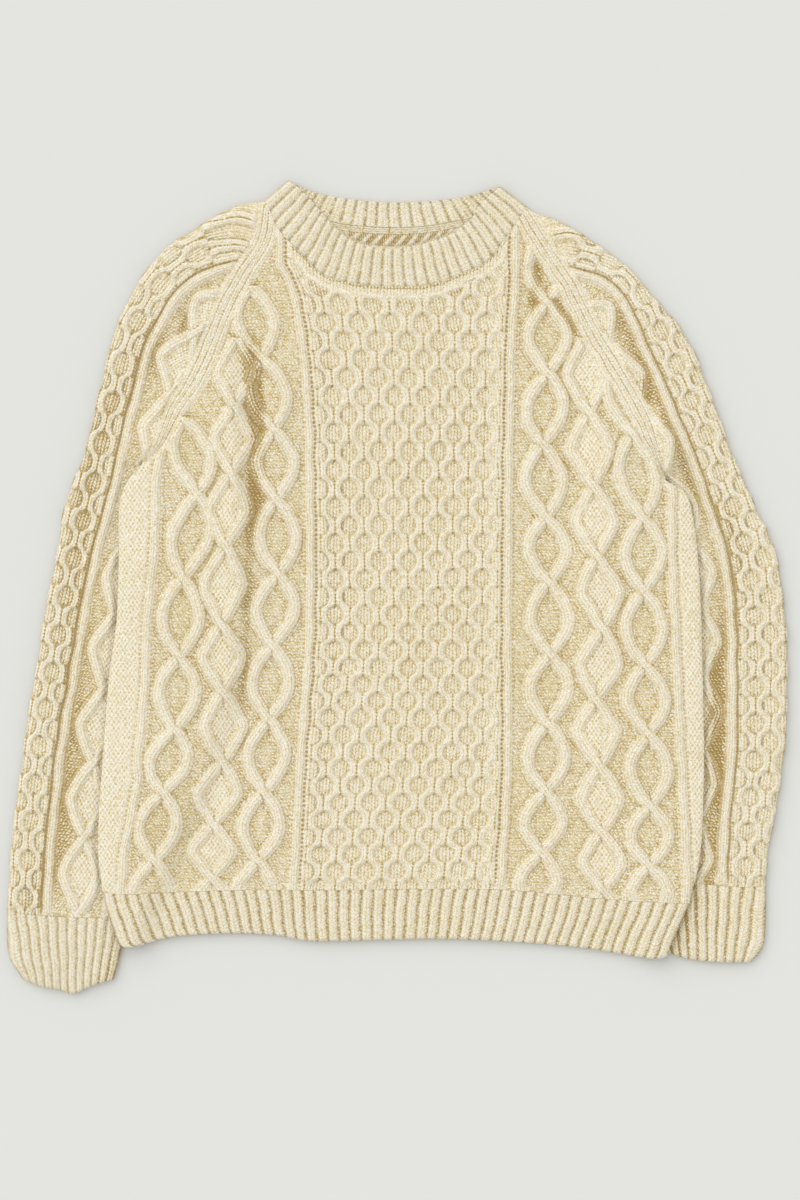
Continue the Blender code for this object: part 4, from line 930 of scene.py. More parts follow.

# %% [markdown]
# ## The wool
#
# The yarn is thick, undyed wool, cream as on its rounded backs. Warmer and browner shade is painted into its
# hollows, for the shade there and the light that bounces between fibres. An image texture could hold the
# stitches, but then they would not follow the cables. So the material computes them from the attributes: a
# V from two slanting legs, a purl row from a wave, a dot from two crossed sines. The same number paints
# shade into the gaps and drives the bump.
#
# A small class lets Python's own arithmetic build the node tree.

# %% A shader written as arithmetic
class Signal:
    """A number that varies over the surface: an output socket with Python's arithmetic."""

    def __init__(self, shader, socket):
        self.shader, self.socket = shader, socket

    def math(self, operation, *others, clamp=False):
        """One math node, with this number first."""
        inputs = dict(enumerate((self, *others)))
        node = self.shader.node("ShaderNodeMath", {"operation": operation, "use_clamp": clamp}, inputs)
        return Signal(self.shader, node.outputs[0])

    def __add__(self, other):
        return self.math("ADD", other)

    __radd__ = __add__

    def __sub__(self, other):
        return self.math("SUBTRACT", other)

    def __rsub__(self, other):
        return self.shader.number(other).math("SUBTRACT", self)

    def __mul__(self, other):
        return self.math("MULTIPLY", other)

    __rmul__ = __mul__

    def __pow__(self, other):
        return self.math("POWER", other)

    def sin(self):
        return self.math("SINE")

    def cos(self):
        return self.math("COSINE")

    def abs(self):
        return self.math("ABSOLUTE")

    def fraction(self):
        return self.math("FRACT")

    def clamp(self):
        return self.math("ADD", 0.0, clamp=True)


class Shader:
    """One material's node tree, written with Signals."""

    def __init__(self, name):
        self.material = bpy.data.materials.new(name)
        self.material.use_nodes = True
        self.tree = self.material.node_tree
        self.surface = self.tree.nodes["Principled BSDF"]

    def node(self, kind, settings=None, sockets=None):
        """Any node: its settings first, then the values or links of its sockets."""
        node = self.tree.nodes.new(kind)
        for key, value in (settings or {}).items():
            setattr(node, key, value)
        for key, value in (sockets or {}).items():
            self.feed(node.inputs[key], value)
        return node

    def feed(self, socket, value):
        """Links a Signal or a socket to a socket, or sets a plain value."""
        if isinstance(value, Signal):
            self.tree.links.new(value.socket, socket)
        elif isinstance(value, bpy.types.NodeSocket):
            self.tree.links.new(value, socket)
        else:
            socket.default_value = value

    def number(self, value):
        """A plain number as a Signal."""
        return Signal(self, self.node("ShaderNodeMath", {"operation": "ADD"}, {0: value, 1: 0.0}).outputs[0])

    def attribute(self, name):
        """The three numbers of a vector attribute."""
        read = self.node("ShaderNodeAttribute", {"attribute_name": name})
        parts = self.node("ShaderNodeSeparateXYZ", None, {0: read.outputs["Vector"]})
        return [Signal(self, parts.outputs[i]) for i in range(3)]

    def noise(self, place, waves, roughness=0.5):
        """Smooth noise from 0 to 1, with this many waves per millimetre."""
        node = self.node("ShaderNodeTexNoise", None,
                         {"Vector": place, "Scale": waves / MM, "Detail": 2.0, "Roughness": roughness})
        return Signal(self, node.outputs["Fac"])

    def mix(self, factor, low, high):
        """A colour between two others."""
        node = self.node("ShaderNodeMix", {"data_type": "RGBA"}, {"Factor": factor, 6: low, 7: high})
        return node.outputs[2]


print("a material is written as arithmetic on Signals")

# %% [markdown]
# ### The stitches as heights
#
# With u counting stitches across and v counting rows up, a knit stitch's legs rise outwards from its
# middle, so the wave's phase moves with the distance from the middle. Every height runs from 0 in the gap
# between strands to 1 on a strand.

# %% Stitch heights
LEG_RISE = 1.7  # rows that a leg climbs from the middle of a stitch to one stitch further out


def knit_height(u, v):
    """Two legs that make a V."""
    a = (u.fraction() - 0.5).abs()
    leg = (a * TURN).sin()
    row = ((v - a * LEG_RISE) * TURN).cos() * 0.5 + 0.5
    return leg * (row * 0.7 + 0.3)


def purl_height(u, v):
    """Rows of short waves."""
    row = ((v + (u * TURN).sin() * 0.15) * TURN).cos() * 0.5 + 0.5
    return row * (((u + v * 0.5) * TURN).cos() * 0.45 + 0.55)


def moss_height(u, v):
    """Dots, every second one left out."""
    return (u * np.pi).sin() * (v * np.pi).sin() * 0.5 + 0.5


print("a leg climbs", LEG_RISE / 2, "rows")

# %% [markdown]
# ### The yarn's colour
#
# The colour runs from cream on the strands to a painted honey shade in the gaps between them, and to a
# painted brown shade where a gap is deep. Noise as fine as fibres breaks it up, slower noise moves the
# stitches a little, and the slowest makes the faint patches that hand-spun wool has. The ribbing's cream is
# a little darker.

# %% Wool
CREAM, RIB_CREAM = (0.865, 0.825, 0.71, 1), (0.83, 0.79, 0.67, 1)
# The colours of the painted shade in gaps and hollows; the yarn's flecks reach them too.
HONEY_SHADE, BROWN_SHADE = (0.64, 0.515, 0.24, 1), (0.38, 0.25, 0.07, 1)
STRAY_WAVES, FIBRE_WAVES, CURL_WAVES, PATCH_WAVES = (0.17, 0.23), 0.85, 0.28, 0.012
BETWEEN_HIGH = 0.45  # the height where one form meets another and no stitch runs on


def wool(name, cream):
    """The yarn: its stitches from the attributes, and shade painted into its colour by how deep a point lies.
    """
    shader = Shader(name)
    place = shader.node("ShaderNodeTexCoord").outputs["Object"]
    u, v, deep = shader.attribute("stitch")
    knit, purl, moss = shader.attribute("kind")
    stray, other = (shader.noise(place, waves) for waves in STRAY_WAVES)
    u, v = u + (stray - 0.5) * (0.25 + purl * 1.2), v + (other - 0.5) * (0.5 + purl * 0.9)
    between = 1 - (knit + purl + moss)
    stitched = (knit * knit_height(u, v) + purl * purl_height(u, v) + moss * moss_height(u, v)
                + between * BETWEEN_HIGH)
    fibre = ((shader.noise(place, FIBRE_WAVES, 0.6) - 0.5) * 3.2 + 0.5).clamp()
    curl = ((shader.noise(place, CURL_WAVES, 0.6) - 0.5) * 3.0 + 0.5).clamp()
    patch = shader.noise(place, PATCH_WAVES)
    # Gaps between strands and hollows get painted shade, and the purl and moss ground a little more.
    gap = (1 - stitched).clamp() ** 1.4
    depth = (deep * 0.45 + 0.06).clamp()
    ground = purl * 0.42 + moss * 0.4
    # Painted shade: the first mix goes from cream towards honey and the second from there towards brown,
    # in gaps, hollows and on the ground; the fibre, curl and patch noises add the yarn's own flecks.
    honey_shade_and_flecks = (gap * (0.86 + depth * 0.7) + depth * 0.24 + ground * 0.32 + (fibre - 0.5) * 0.95
            + (curl - 0.5) * 0.5 + (patch - 0.5) * 0.3 - 0.17).clamp()
    dark = (gap ** 1.5 * (depth * 1.4 + curl * 0.6 + fibre * 0.5 + ground * 1.2 - 0.48)
            + (depth - 0.75) * 0.8).clamp()
    colour = shader.mix(dark, shader.mix(honey_shade_and_flecks, cream, HONEY_SHADE), BROWN_SHADE)
    shader.feed(shader.surface.inputs["Base Color"], colour)
    bump = shader.node("ShaderNodeBump", None, {
        "Strength": 0.85, "Distance": 1.0 * MM, "Height": stitched * 0.9 + fibre * 0.5})
    shader.feed(shader.surface.inputs["Normal"], bump.outputs[0])
    shader.feed(shader.surface.inputs["Roughness"], 0.95)
    shader.feed(shader.surface.inputs["Specular IOR Level"], 0.1)
    shader.feed(shader.surface.inputs["Sheen Weight"], 0.2)
    shader.feed(shader.surface.inputs["Sheen Roughness"], 0.6)
    shader.feed(shader.surface.inputs["Sheen Tint"], (1.0, 0.95, 0.85, 1))
    return shader.material


WOOL = wool("undyed wool", CREAM)
RIB_WOOL = wool("undyed wool, ribbed", RIB_CREAM)
print("wool made of", len(WOOL.node_tree.nodes), "nodes")

# %% [markdown]
# ## The front, in three sheets
#
# The front is one panel on the real sweater. It is made here as three sheets that meet in the purl channels
# beside the honeycomb, so that each can carry a fine mesh. Both sheets have the same points along that
# line, and its edge is kept hard, so no seam shows.

# %% Cutting the front
CHANNEL = 6.6  # from a slim rope's middle to the purl channel beside it
SPLIT_AT = {"left": lambda y: LINES["inner_left"](y) - CHANNEL,
            "right": lambda y: LINES["inner_right"](y) + CHANNEL}


def split(outline, line):
    """The parts of a closed outline on the left and on the right of a line that runs down it."""
    side = outline[:, 0] - line(outline[:, 1])
    after = np.roll(side, -1)
    cut = np.flatnonzero((side < 0) != (after < 0))
    ends = []
    for i in cut:
        t = side[i] / (side[i] - after[i])
        ends.append(outline[i] + t * (outline[(i + 1) % len(outline)] - outline[i]))
    (i, j), (first, second) = cut, ends
    y = np.linspace(first[1], second[1], int(abs(second[1] - first[1]) / CURVE))[1:-1]
    seam = np.vstack([first, np.column_stack([line(y), y]), second])
    one = np.vstack([seam[::-1], outline[i + 1:j + 1]])
    other = np.vstack([seam, outline[j + 1:], outline[:i + 1]])
    parts = {bool(np.mean(part[:, 0]) > np.mean(seam[:, 0])): part for part in (one, other)}
    return parts[False], parts[True]


def without_doubles(outline):
    """The outline without points that lie on each other."""
    return outline[np.linalg.norm(outline - np.roll(outline, 1, axis=0), axis=1) > 0.05]


left_part, rest = split(FRONT_OUTLINE, SPLIT_AT["left"])
middle_part, right_part = split(rest, SPLIT_AT["right"])
FRONT_PARTS = {"front_left_cables": left_part, "front_honeycomb": middle_part,
               "front_right_cables": right_part}
print({name: f"{abs(area(part)) / 1e4:.0f} cm2" for name, part in FRONT_PARTS.items()})

# %% [markdown]
# ### The front's faces
#
# The upper face carries every form and crease. The under face is plain and lies on the layer beneath, or on
# the sleeves, which hold it up at the sides.

# %% Front
def front_top(x, y):
    """The front's outer side."""
    knitting = body_knitting(x, y, smooth(NECK_FRONT, 3.0))
    full = folded(np.column_stack([x, y]), BODY_FOLDS)
    shade, roll = creases(x, y)
    knitting.shade = knitting.shade + shade
    above = np.maximum(WALL - EDGE + knitting.high + roll, THINNEST)
    return UPPER_FOOT + lift(x, y) + EDGE + full * above, knitting


def front_under(x, y):
    """The front's inner side."""
    full = folded(np.column_stack([x, y]), BODY_FOLDS)
    return MIDDLE + lift(x, y) + (UPPER_FOOT - MIDDLE) * full, plain(x, y)


front = {}
for name, outline in FRONT_PARTS.items():
    front[name] = wall(without_doubles(outline), front_top, front_under).object(name, WOOL)
    dress(front[name], "front")

# %% [markdown]
# ## The back
#
# The back lies face down. Its wrong side shows through the neck, and its right side, with the same cables
# as the front, is pressed flat against the table, so there the ropes are hardly raised.

# %% Back
PRESSED = 0.22  # of a rope's height is left beneath the sweater
BACK_MOVED, SLEEVE_MOVED = (14.0, -37.0), 48.0  # how far the hidden sides' creases are moved from the front's
UNDER_STEP = 3.2
NECK_MIDDLE, NECK_HALF, NECK_LOW = 4.0, 80.0, 312.0  # the part of the back that shows through the neck
# The twisted rope inside it: how far below the seam, half its width, and its height.
INNER_DOWN, INNER_HALF, INNER_HIGH = 6.0, 6.5, 2.2
INNER_SHADE, TWIST_SHADE = 0.6, 2.6  # painted shade on the cloth inside the neck, and in the rope's hollows


def back_top(x, y):
    """The back's inner side. Inside the neck it shows the seam's ridge and a twisted rope below it."""
    points, knitting = np.column_stack([x, y]), plain(x, y)
    full = folded(points, BODY_FOLDS)
    along, down = (np.abs(part) for part in measured(points, smooth(NECK_BACK, 3.0)))
    opening = ease((-measured(points, smooth(BAND_EDGE_FRONT, 3.0))[1] - 0.5) / 3) * (down < 30)
    twist = 0.6 + 0.4 * np.cos(TURN * (along / 11 + down / 15))
    rope = INNER_HIGH * back_of(down - INNER_DOWN, INNER_HALF) * twist
    knitting.lay(rope, along / V_TALL, down / 4, KNIT, down < INNER_DOWN + INNER_HALF)
    knitting.high = knitting.high * opening
    # Shade is painted on the cloth inside the neck, more in the twisted rope's hollows.
    in_twist = (1 - twist) * (down < 13)
    knitting.shade = knitting.shade + (INNER_SHADE + TWIST_SHADE * in_twist) * opening
    return MIDDLE + lift(x, y) - (MIDDLE - LOWER_TOP) * full + knitting.high, knitting


def back_under(x, y):
    """The back's outer side, which is the front's mirror."""
    knitting = body_knitting(-x, y, smooth(NECK_BACK, 3.0) * (-1, 1))
    full = folded(np.column_stack([x, y]), BODY_FOLDS)
    shade, roll = creases(BACK_MOVED[0] - x, BACK_MOVED[1] + y)
    knitting.shade = knitting.shade + shade
    high = PRESSED * knitting.high + 0.5 * np.minimum(roll, 0)
    thick = EDGE + full * (LOWER_TOP - EDGE - PRESSED * ROPE_HIGH + high)
    return MIDDLE + lift(x, y) - (MIDDLE - LOWER_TOP) * full - thick, knitting


back_outline = inset(body_outline(NECK_BACK), SEAM_GAP)
in_neck, elsewhere = field(back_outline, STEP), field(back_outline, 6.0)
in_neck = in_neck[(np.abs(in_neck[:, 0] - NECK_MIDDLE) < NECK_HALF) & (in_neck[:, 1] > NECK_LOW)]
beside = np.abs(elsewhere[:, 0] - NECK_MIDDLE) > NECK_HALF + 3
elsewhere = elsewhere[beside | (elsewhere[:, 1] < NECK_LOW - 3)]
shell = wall(back_outline, back_top, back_under, np.vstack([in_neck, elsewhere]), UNDER_STEP)
back = shell.object("back_knit", WOOL)
dress(back, "back")

# %% [markdown]
# ## The sleeves
#
# A sleeve is a tube, knitted flat and sewn along its underside. Lying flat it is two layers that are one at
# the folds and open at the raglan and at the cuff. Its upper layer is finely worked where it shows. Towards
# the raglan it climbs to meet the body, which it lifts.

# %% Sleeves
UNDER_BODY, BARE_FADE = 4.0, 7.0  # the stitches end this far beneath the body and rise over this distance
SWELL_REACH, SWELL_FOOT = 48.0, 14.0  # how far from the raglan a sleeve climbs, and how soon beside the body
SLEEVE_VALLEY = {  # where a sleeve sinks beside the body, with shade painted on it
    "left": ((-232, 236), (-243, 204), (-279, 139), (-298, 25), (-316, -217), (-342, -300)),
    "right": ((212, 250), (227, 217), (274, 102), (311, 55), (313, -20), (295, -142), (296, -226),
              (281, -320)),
}
VALLEY_HALF = {"left": 15.0, "right": 11.0}
SCALLOP, SCALLOP_FROM = 1.8, 5.0  # how deep the pits notch the outer fold, read this far inside it
BODY_SHADE, SLEEVE_DIP = 0.8, 1.8  # the shade painted into the valley, and its depth
ROOM_EVERY = 6  # every sixth point of a fold bounds the room inside the sleeve
FINE_STEP = 0.2  # between the points that an open end is measured by
BODY_SIDE = {side: smooth(table, 5.0) for side, table in SIDE.items()}


def showing(points, side):
    """How far a point lies outside the body's edge: below 0 where the body covers it."""
    _, off = measured(points, np.vstack([smooth(RAGLAN[side], 6.0), BODY_SIDE[side][1:]]))
    return off if side == "left" else -off


def sleeve_top(side, folds):
    """A function for a sleeve's upper side, from its folds."""
    def worked(x, y):
        points = np.column_stack([x, y])
        from_raglan = np.abs(measured(points, RAGLAN_SEAMS[side])[1])
        from_side = np.abs(measured(points, BODY_SIDE[side])[1])
        by_raglan = ease((from_side - from_raglan) / SWELL_FOOT + 0.35)
        bare = np.maximum(ease(showing(points, side) / BARE_FADE), by_raglan)
        swell = drape(y) * ease(1 - from_raglan / SWELL_REACH) * by_raglan
        knitting = sleeve_knitting(x, y, side)
        knitting.high = knitting.high * bare
        # Beside the body the sleeve sinks into a valley that gets painted shade; its troughs get painted
        # shade too.
        from_valley = measured(points, smooth(SLEEVE_VALLEY[side], 6.0))[1]
        near_body = np.exp(-(from_valley / VALLEY_HALF[side]) ** 2) * ease((from_raglan - 10) / 12)
        shade, roll = creases(x, y)
        knitting.shade = knitting.shade + BODY_SHADE * near_body + shade
        relief = knitting.high + roll * bare + swell - SLEEVE_DIP * near_body * (1 - by_raglan)
        above = np.maximum(WALL + relief, EDGE + THINNEST)
        return MIDDLE + folded(points, folds) * (UPPER_FOOT - MIDDLE + above), knitting
    return worked


def sleeve_outline(side):
    """A sleeve's outline and which of its points are on a fold, the same for the room inside it, and its open
    ends: the numbers of their points on both."""
    shoulder = np.vstack([smooth(RAGLAN[side], CURVE)[:0:-1],
                          spaced([RAGLAN[side][0], SLEEVE_OUT[side][0]], CURVE)])
    lines = [smooth(SLEEVE_OUT[side], CURVE), smooth(CUFF_SEAM[side], CURVE),
             smooth(SLEEVE_IN[side], CURVE)[::-1], shoulder]
    is_fold = [True, False, True, False]
    if side == "right":
        lines, is_fold = [line[::-1] for line in lines[::-1]], is_fold[::-1]
    outline = joined(*lines)
    seen = sleeve_knitting(*inset(outline, SCALLOP_FROM).T, side).high
    from_cuff = np.abs(measured(outline, smooth(CUFF_SEAM[side], 12.0))[1])
    bare = ease((showing(outline, side) - 30) / 20) * ease((from_cuff - 2) / 12)
    outline = inset(outline, SEAM_GAP + SCALLOP * (1 - seen / ROPE_HIGH) * bare)
    at_fold, first = np.zeros(len(outline), bool), 0
    room, room_fold, ends = [], [], []
    for line, folds in zip(lines, is_fold):
        rows = np.arange(first, first + len(line)) % len(outline)
        first += len(line) - 1
        run = outline[rows]
        if folds:
            at_fold[rows] = True
            way = np.gradient(run, axis=0)
            way /= np.linalg.norm(way, axis=1)[:, None]
            moved = run + WALL * np.column_stack([-way[:, 1], way[:, 0]])
            moved = moved[ROOM_EVERY:-ROOM_EVERY:ROOM_EVERY]
            room_fold += [True] * len(moved)
        else:
            line = spaced(run, FINE_STEP)
            at = np.arange(len(line)) * FINE_STEP
            moved = spaced(line[(at > WALL) & (at < steps_of(run).sum() - WALL)], 2 * CURVE)
            count = len(room_fold)
            ends.append((rows, np.arange(count, count + len(moved))))
            room_fold += [True] + [False] * (len(moved) - 2) + [True]
        room.append(moved)
    return outline, at_fold, np.vstack(room), np.array(room_fold), ends


def zipped(one, other, points_of_one, points_of_other):
    """Triangles between two rows of point numbers that run the same way."""
    a, b = (run_of(row) / run_of(row)[-1] for row in (points_of_one, points_of_other))
    i, j, faces = 0, 0, []
    while i < len(one) - 1 or j < len(other) - 1:
        if j == len(other) - 1 or (i < len(one) - 1 and a[i + 1] <= b[j + 1]):
            faces.append((one[i + 1], one[i], other[j]))
            i += 1
        else:
            faces.append((one[i], other[j], other[j + 1]))
            j += 1
    return np.array(faces)


def sleeve(side):
    """A tube, closed at its folds: its outer shell, the room inside, and the bands round its open ends."""
    outline, at_fold, room, room_fold, ends = sleeve_outline(side)
    folds = [smooth(SLEEVE_OUT[side], 3.0), smooth(SLEEVE_IN[side], 6.0)]
    fine, coarse = field(outline, STEP), field(outline, PLAIN_STEP)
    fine = fine[showing(fine, side) > -UNDER_BODY]
    coarse = coarse[showing(coarse, side) < -UNDER_BODY - 5]
    top = Face(outline, np.vstack([fine, coarse]), sleeve_top(side, folds))
    top.points[:len(outline), 2] = np.where(at_fold, MIDDLE, top.points[:len(outline), 2])

    def under(x, y):
        knitting = sleeve_knitting(x, y, side)
        shade, roll = creases(x, y + SLEEVE_MOVED)
        knitting.shade = knitting.shade + shade
        pressed = PRESSED * (ROPE_HIGH - knitting.high) - 0.5 * np.minimum(roll, 0)
        return MIDDLE + folded(np.column_stack([x, y]), folds) * (pressed - MIDDLE), knitting

    shell = Shell()
    outer_top = shell.face(top)
    outer_foot = shell.face(Face(outline, field(outline, UNDER_STEP), under), True, outer_top, at_fold)
    layers = []
    for height, turned in ((UPPER_FOOT, True), (LOWER_TOP, False)):
        face = Face(room, field(room, PLAIN_STEP), lambda x, y: (np.full(len(x), height), plain(x, y)))
        face.points[:len(room), 2] = np.where(room_fold, MIDDLE, height)
        layers.append(shell.face(face, turned, layers[0] if layers else None, room_fold))
    for outer, inner, turned in ((outer_top, layers[0], False), (outer_foot, layers[1], True)):
        for rows, room_rows in ends:
            band = zipped(outer[rows], inner[room_rows], outline[rows], room[room_rows])
            shell.faces.append(band[:, ::-1] if turned else band)
            shell.keep_hard(outer[rows])
    return shell


sleeves = {}
for side in ("left", "right"):
    sleeves[side] = sleeve(side).object(f"{side}_sleeve_knit", WOOL)
    dress(sleeves[side], f"{side}_sleeve")

# %% [markdown]
# ## Ribbing
#
# Ribs run from the seam to the edge and fan with it, so ribbing is not a field of points but a grid: one
# coordinate counts along the seam, the other from the seam to the edge. Cross-sections a millimetre or so
# apart are joined into a ring for the cuffs and neckband, and into a strip with two closed ends for the
# hem.

# %% Ribbing
RIB_HIGH, RIB_BACK = 1.6, 1.6  # how high a knit column stands, and how round its back is
RIB_SHARE = 0.39  # half the width of a knit column, as a share of a rib
ROUND_EDGE, ROUND_SEAM = 3.2, 1.6  # how far in from its edge and its seam the ribbing rounds
RIM_THIN, SEAM_THIN = 0.92, 0.08  # how much thinner the cloth ends at its edge and at its seam
RIB_LESS_SHADE, SEAM_SHADE = 0.45, 0.2  # how much less shade is painted on ribbing all over, and how much more along its seam
MOST_HIDDEN_SHADE = 0.7  # the most shade painted on a strip's hidden face, so the neck's painted corner shade is on its inner face alone


def along_line(line, t):
    """The points at these shares of a line's length."""
    line = spaced(line, 0.8)
    at = np.linspace(0, 1, len(line))
    return np.column_stack([np.interp(t, at, line[:, i]) for i in (0, 1)])


class Ribbing:
    """A grid of points over a strip of ribs: from one end t = 0 to the other, and from seam to edge."""

    def __init__(self, seam, edge, ribs, across_rib, rows, ends=(), lean=0.0, share=RIB_SHARE, groove_shade=1.0):
        self.t = np.linspace(0, 1, ribs * across_rib + 1)
        self.v = np.linspace(0, 1, rows)
        start = along_line(seam, self.t)[:, None]
        foot = along_line(edge, np.clip(self.t + lean * np.sin(np.pi * self.t), 0, 1))[:, None]
        v = self.v[None, :, None]
        self.flat = start + (foot - start) * v
        for end, near in zip(ends, ((1 - self.t) ** 12, self.t ** 12)):
            line = along_line(end, self.v)
            bulge = line - (line[0] + (line[-1] - line[0]) * self.v[:, None])
            self.flat = self.flat + near[:, None, None] * bulge[None]
        self.down = np.linalg.norm(foot - start, axis=2) * self.v[None, :]
        self.length = np.linalg.norm(foot - start, axis=2)
        x, y = self.flat[..., 0].ravel(), self.flat[..., 1].ravel()
        stray = 0.03 * np.sin(self.down / 6.1 + 9 * self.t[:, None]) + 0.02 * np.sin(self.t[:, None] * 77)
        place = (self.t[:, None] * ribs + stray) % 1 - 0.5
        knit = np.abs(place) < share
        self.high = RIB_HIGH * np.where(knit, back_of(place, share, RIB_BACK), 0)
        rim = np.clip(1 - (self.length - self.down) / ROUND_EDGE, 0, 1)
        seam_rim = np.clip(1 - self.down / ROUND_SEAM, 0, 1)
        self.rim = np.sqrt(1 - RIM_THIN * rim**2) * (1 - SEAM_THIN * seam_rim)
        u = np.where(knit, place / (2 * share) + 0.5, place * 2)
        # Painted shade: in the gaps between the knit columns, less on ribbing all over, and more along the
        # seam.
        deep = groove_shade * (1 - self.high / RIB_HIGH) - RIB_LESS_SHADE + SEAM_SHADE * seam_rim
        self.stitch = np.stack([u, -self.down / V_TALL, deep], axis=2)
        self.kind = np.where(knit[..., None], KNIT, PURL).astype(float)
        self.x, self.y = x, y

    def spread(self, numbers):
        """A row of numbers, one for each point, back on the grid."""
        return numbers.reshape(self.flat.shape[:2])

    def narrowed(self, by):
        """The grid's points with its ends drawn in by this share of its width: the room inside a tube."""
        place = np.clip(self.t, by, 1 - by) * (len(self.t) - 1)
        low, part = np.floor(place).astype(int), (place % 1)[:, None, None]
        return self.flat[low] * (1 - part) + self.flat[np.minimum(low + 1, len(self.t) - 1)] * part


def sections(grid, outer, inner, inner_flat=None, back_rows=5):
    """Cross-sections of a strip: down its outer face and back up its inner one."""
    flat = grid.flat if inner_flat is None else inner_flat
    back = np.linspace(len(grid.v) - 1, 0, back_rows).round().astype(int)
    points = np.concatenate([np.dstack([grid.flat, outer]), np.dstack([flat, inner])[:, back]], axis=1)
    hidden = np.minimum(grid.stitch[:, back], (np.inf, np.inf, MOST_HIDDEN_SHADE))
    stitch = np.concatenate([grid.stitch, hidden], axis=1)
    kind = np.concatenate([grid.kind, grid.kind[:, back]], axis=1)
    return points, stitch, kind


def lofted(parts, closed):
    """A shell from rows of cross-sections: a ring, or a strip with closed ends."""
    points, stitch, kind = (np.concatenate([part[i] for part in parts]) for i in range(3))
    count, size = points.shape[:2]
    index = np.arange(count * size).reshape(count, size)
    ahead = np.roll(index, -1, axis=0)
    a, b, c, d = index, np.roll(index, -1, axis=1), np.roll(ahead, -1, axis=1), ahead
    if not closed:
        a, b, c, d = (corner[:-1] for corner in (a, b, c, d))
    faces = [np.stack(three, axis=2).reshape(-1, 3) for three in ((a, b, c), (a, c, d))]
    if not closed:
        for ring in (index[0][::-1], index[-1]):
            faces.append(np.column_stack([np.full(size - 2, ring[0]), ring[1:-1], ring[2:]]))
    shell = Shell()
    shell.add(points.reshape(-1, 3), stitch.reshape(-1, 3), kind.reshape(-1, 3), np.vstack(faces))
    for row in (index[:, 0], index[:, -1]):
        shell.keep_hard(np.append(row, row[0]) if closed else row)
    return shell


print("a rib's knit column is", round(2 * RIB_SHARE * 100), "% of its width")

# %% [markdown]
# ### The hem
#
# The hem continues the front and the back below their last row and draws in towards its edge. What shows
# gets the finer grid. The back's half is pressed against the table.

# %% Hem
HEM_LEAN = -0.004  # how far the ribs lean in the middle, as a share of the hem's width
HEM_GRID = {True: (10, 36), False: (6, 14)}  # points across a rib and down it, on the front and the back


def inset_line(table):
    """A seam's line, moved down by the gap that a panel leaves at it."""
    return smooth(table, 2.0) - (0, 2 * SEAM_GAP)


def hem(front_side):
    """The front's half of the hem, or the back's."""
    grid = Ribbing(inset_line(HEM_SEAM), smooth(HEM_EDGE, 2.0), HEM_RIBS, *HEM_GRID[front_side],
                   ends=(smooth(HEM_END["left"], 1.0), smooth(HEM_END["right"], 1.0)),
                   lean=HEM_LEAN, groove_shade=1.15)
    points = np.column_stack([grid.x, grid.y])
    full = grid.spread(folded(points, BODY_FOLDS))
    level = grid.spread(lift(grid.x, grid.y))
    if front_side:
        roll = grid.spread(creases(grid.x, grid.y)[1])
        inner = MIDDLE + level + (UPPER_FOOT - MIDDLE) * full
        outer = inner + (EDGE + full * (WALL - EDGE + grid.high + roll)) * grid.rim
    else:
        inner = MIDDLE + level - (MIDDLE - LOWER_TOP) * full
        thick = EDGE + full * (LOWER_TOP - EDGE - PRESSED * (RIB_HIGH - grid.high))
        outer = inner - thick * grid.rim
    return lofted([sections(grid, outer, inner)], closed=False)


hems = {}
for name, front_side in (("front_hem_rib", True), ("back_hem_rib", False)):
    hems[name] = hem(front_side).object(f"{name}_knit", RIB_WOOL)
    dress(hems[name], name)

# %% [markdown]
# ### The cuffs
#
# A cuff is a tube like its sleeve: two halves that are one at the folds. Each half is a grid of ribs, and
# the two grids join into one ring of cross-sections. The hem lies over part of each cuff, and the shade it
# casts is painted on the cuff.

# %% Cuffs
CUFF_ROWS = 46
# How much shade is painted in the grooves between each cuff's ribs.
CUFF_GROOVE_SHADE = {"left": 0.75, "right": 1.1}
CUFF_SHADOW = {"left": (0.2, 1.1), "right": (1.1, 0.2)}  # the shadow painted beside the hem, and the shade painted at the inner lower corner
BESIDE_REACH, CORNER_REACH, CORNER_TOP = 16.0, 14.0, -345.0  # how far they reach, and where the corner starts


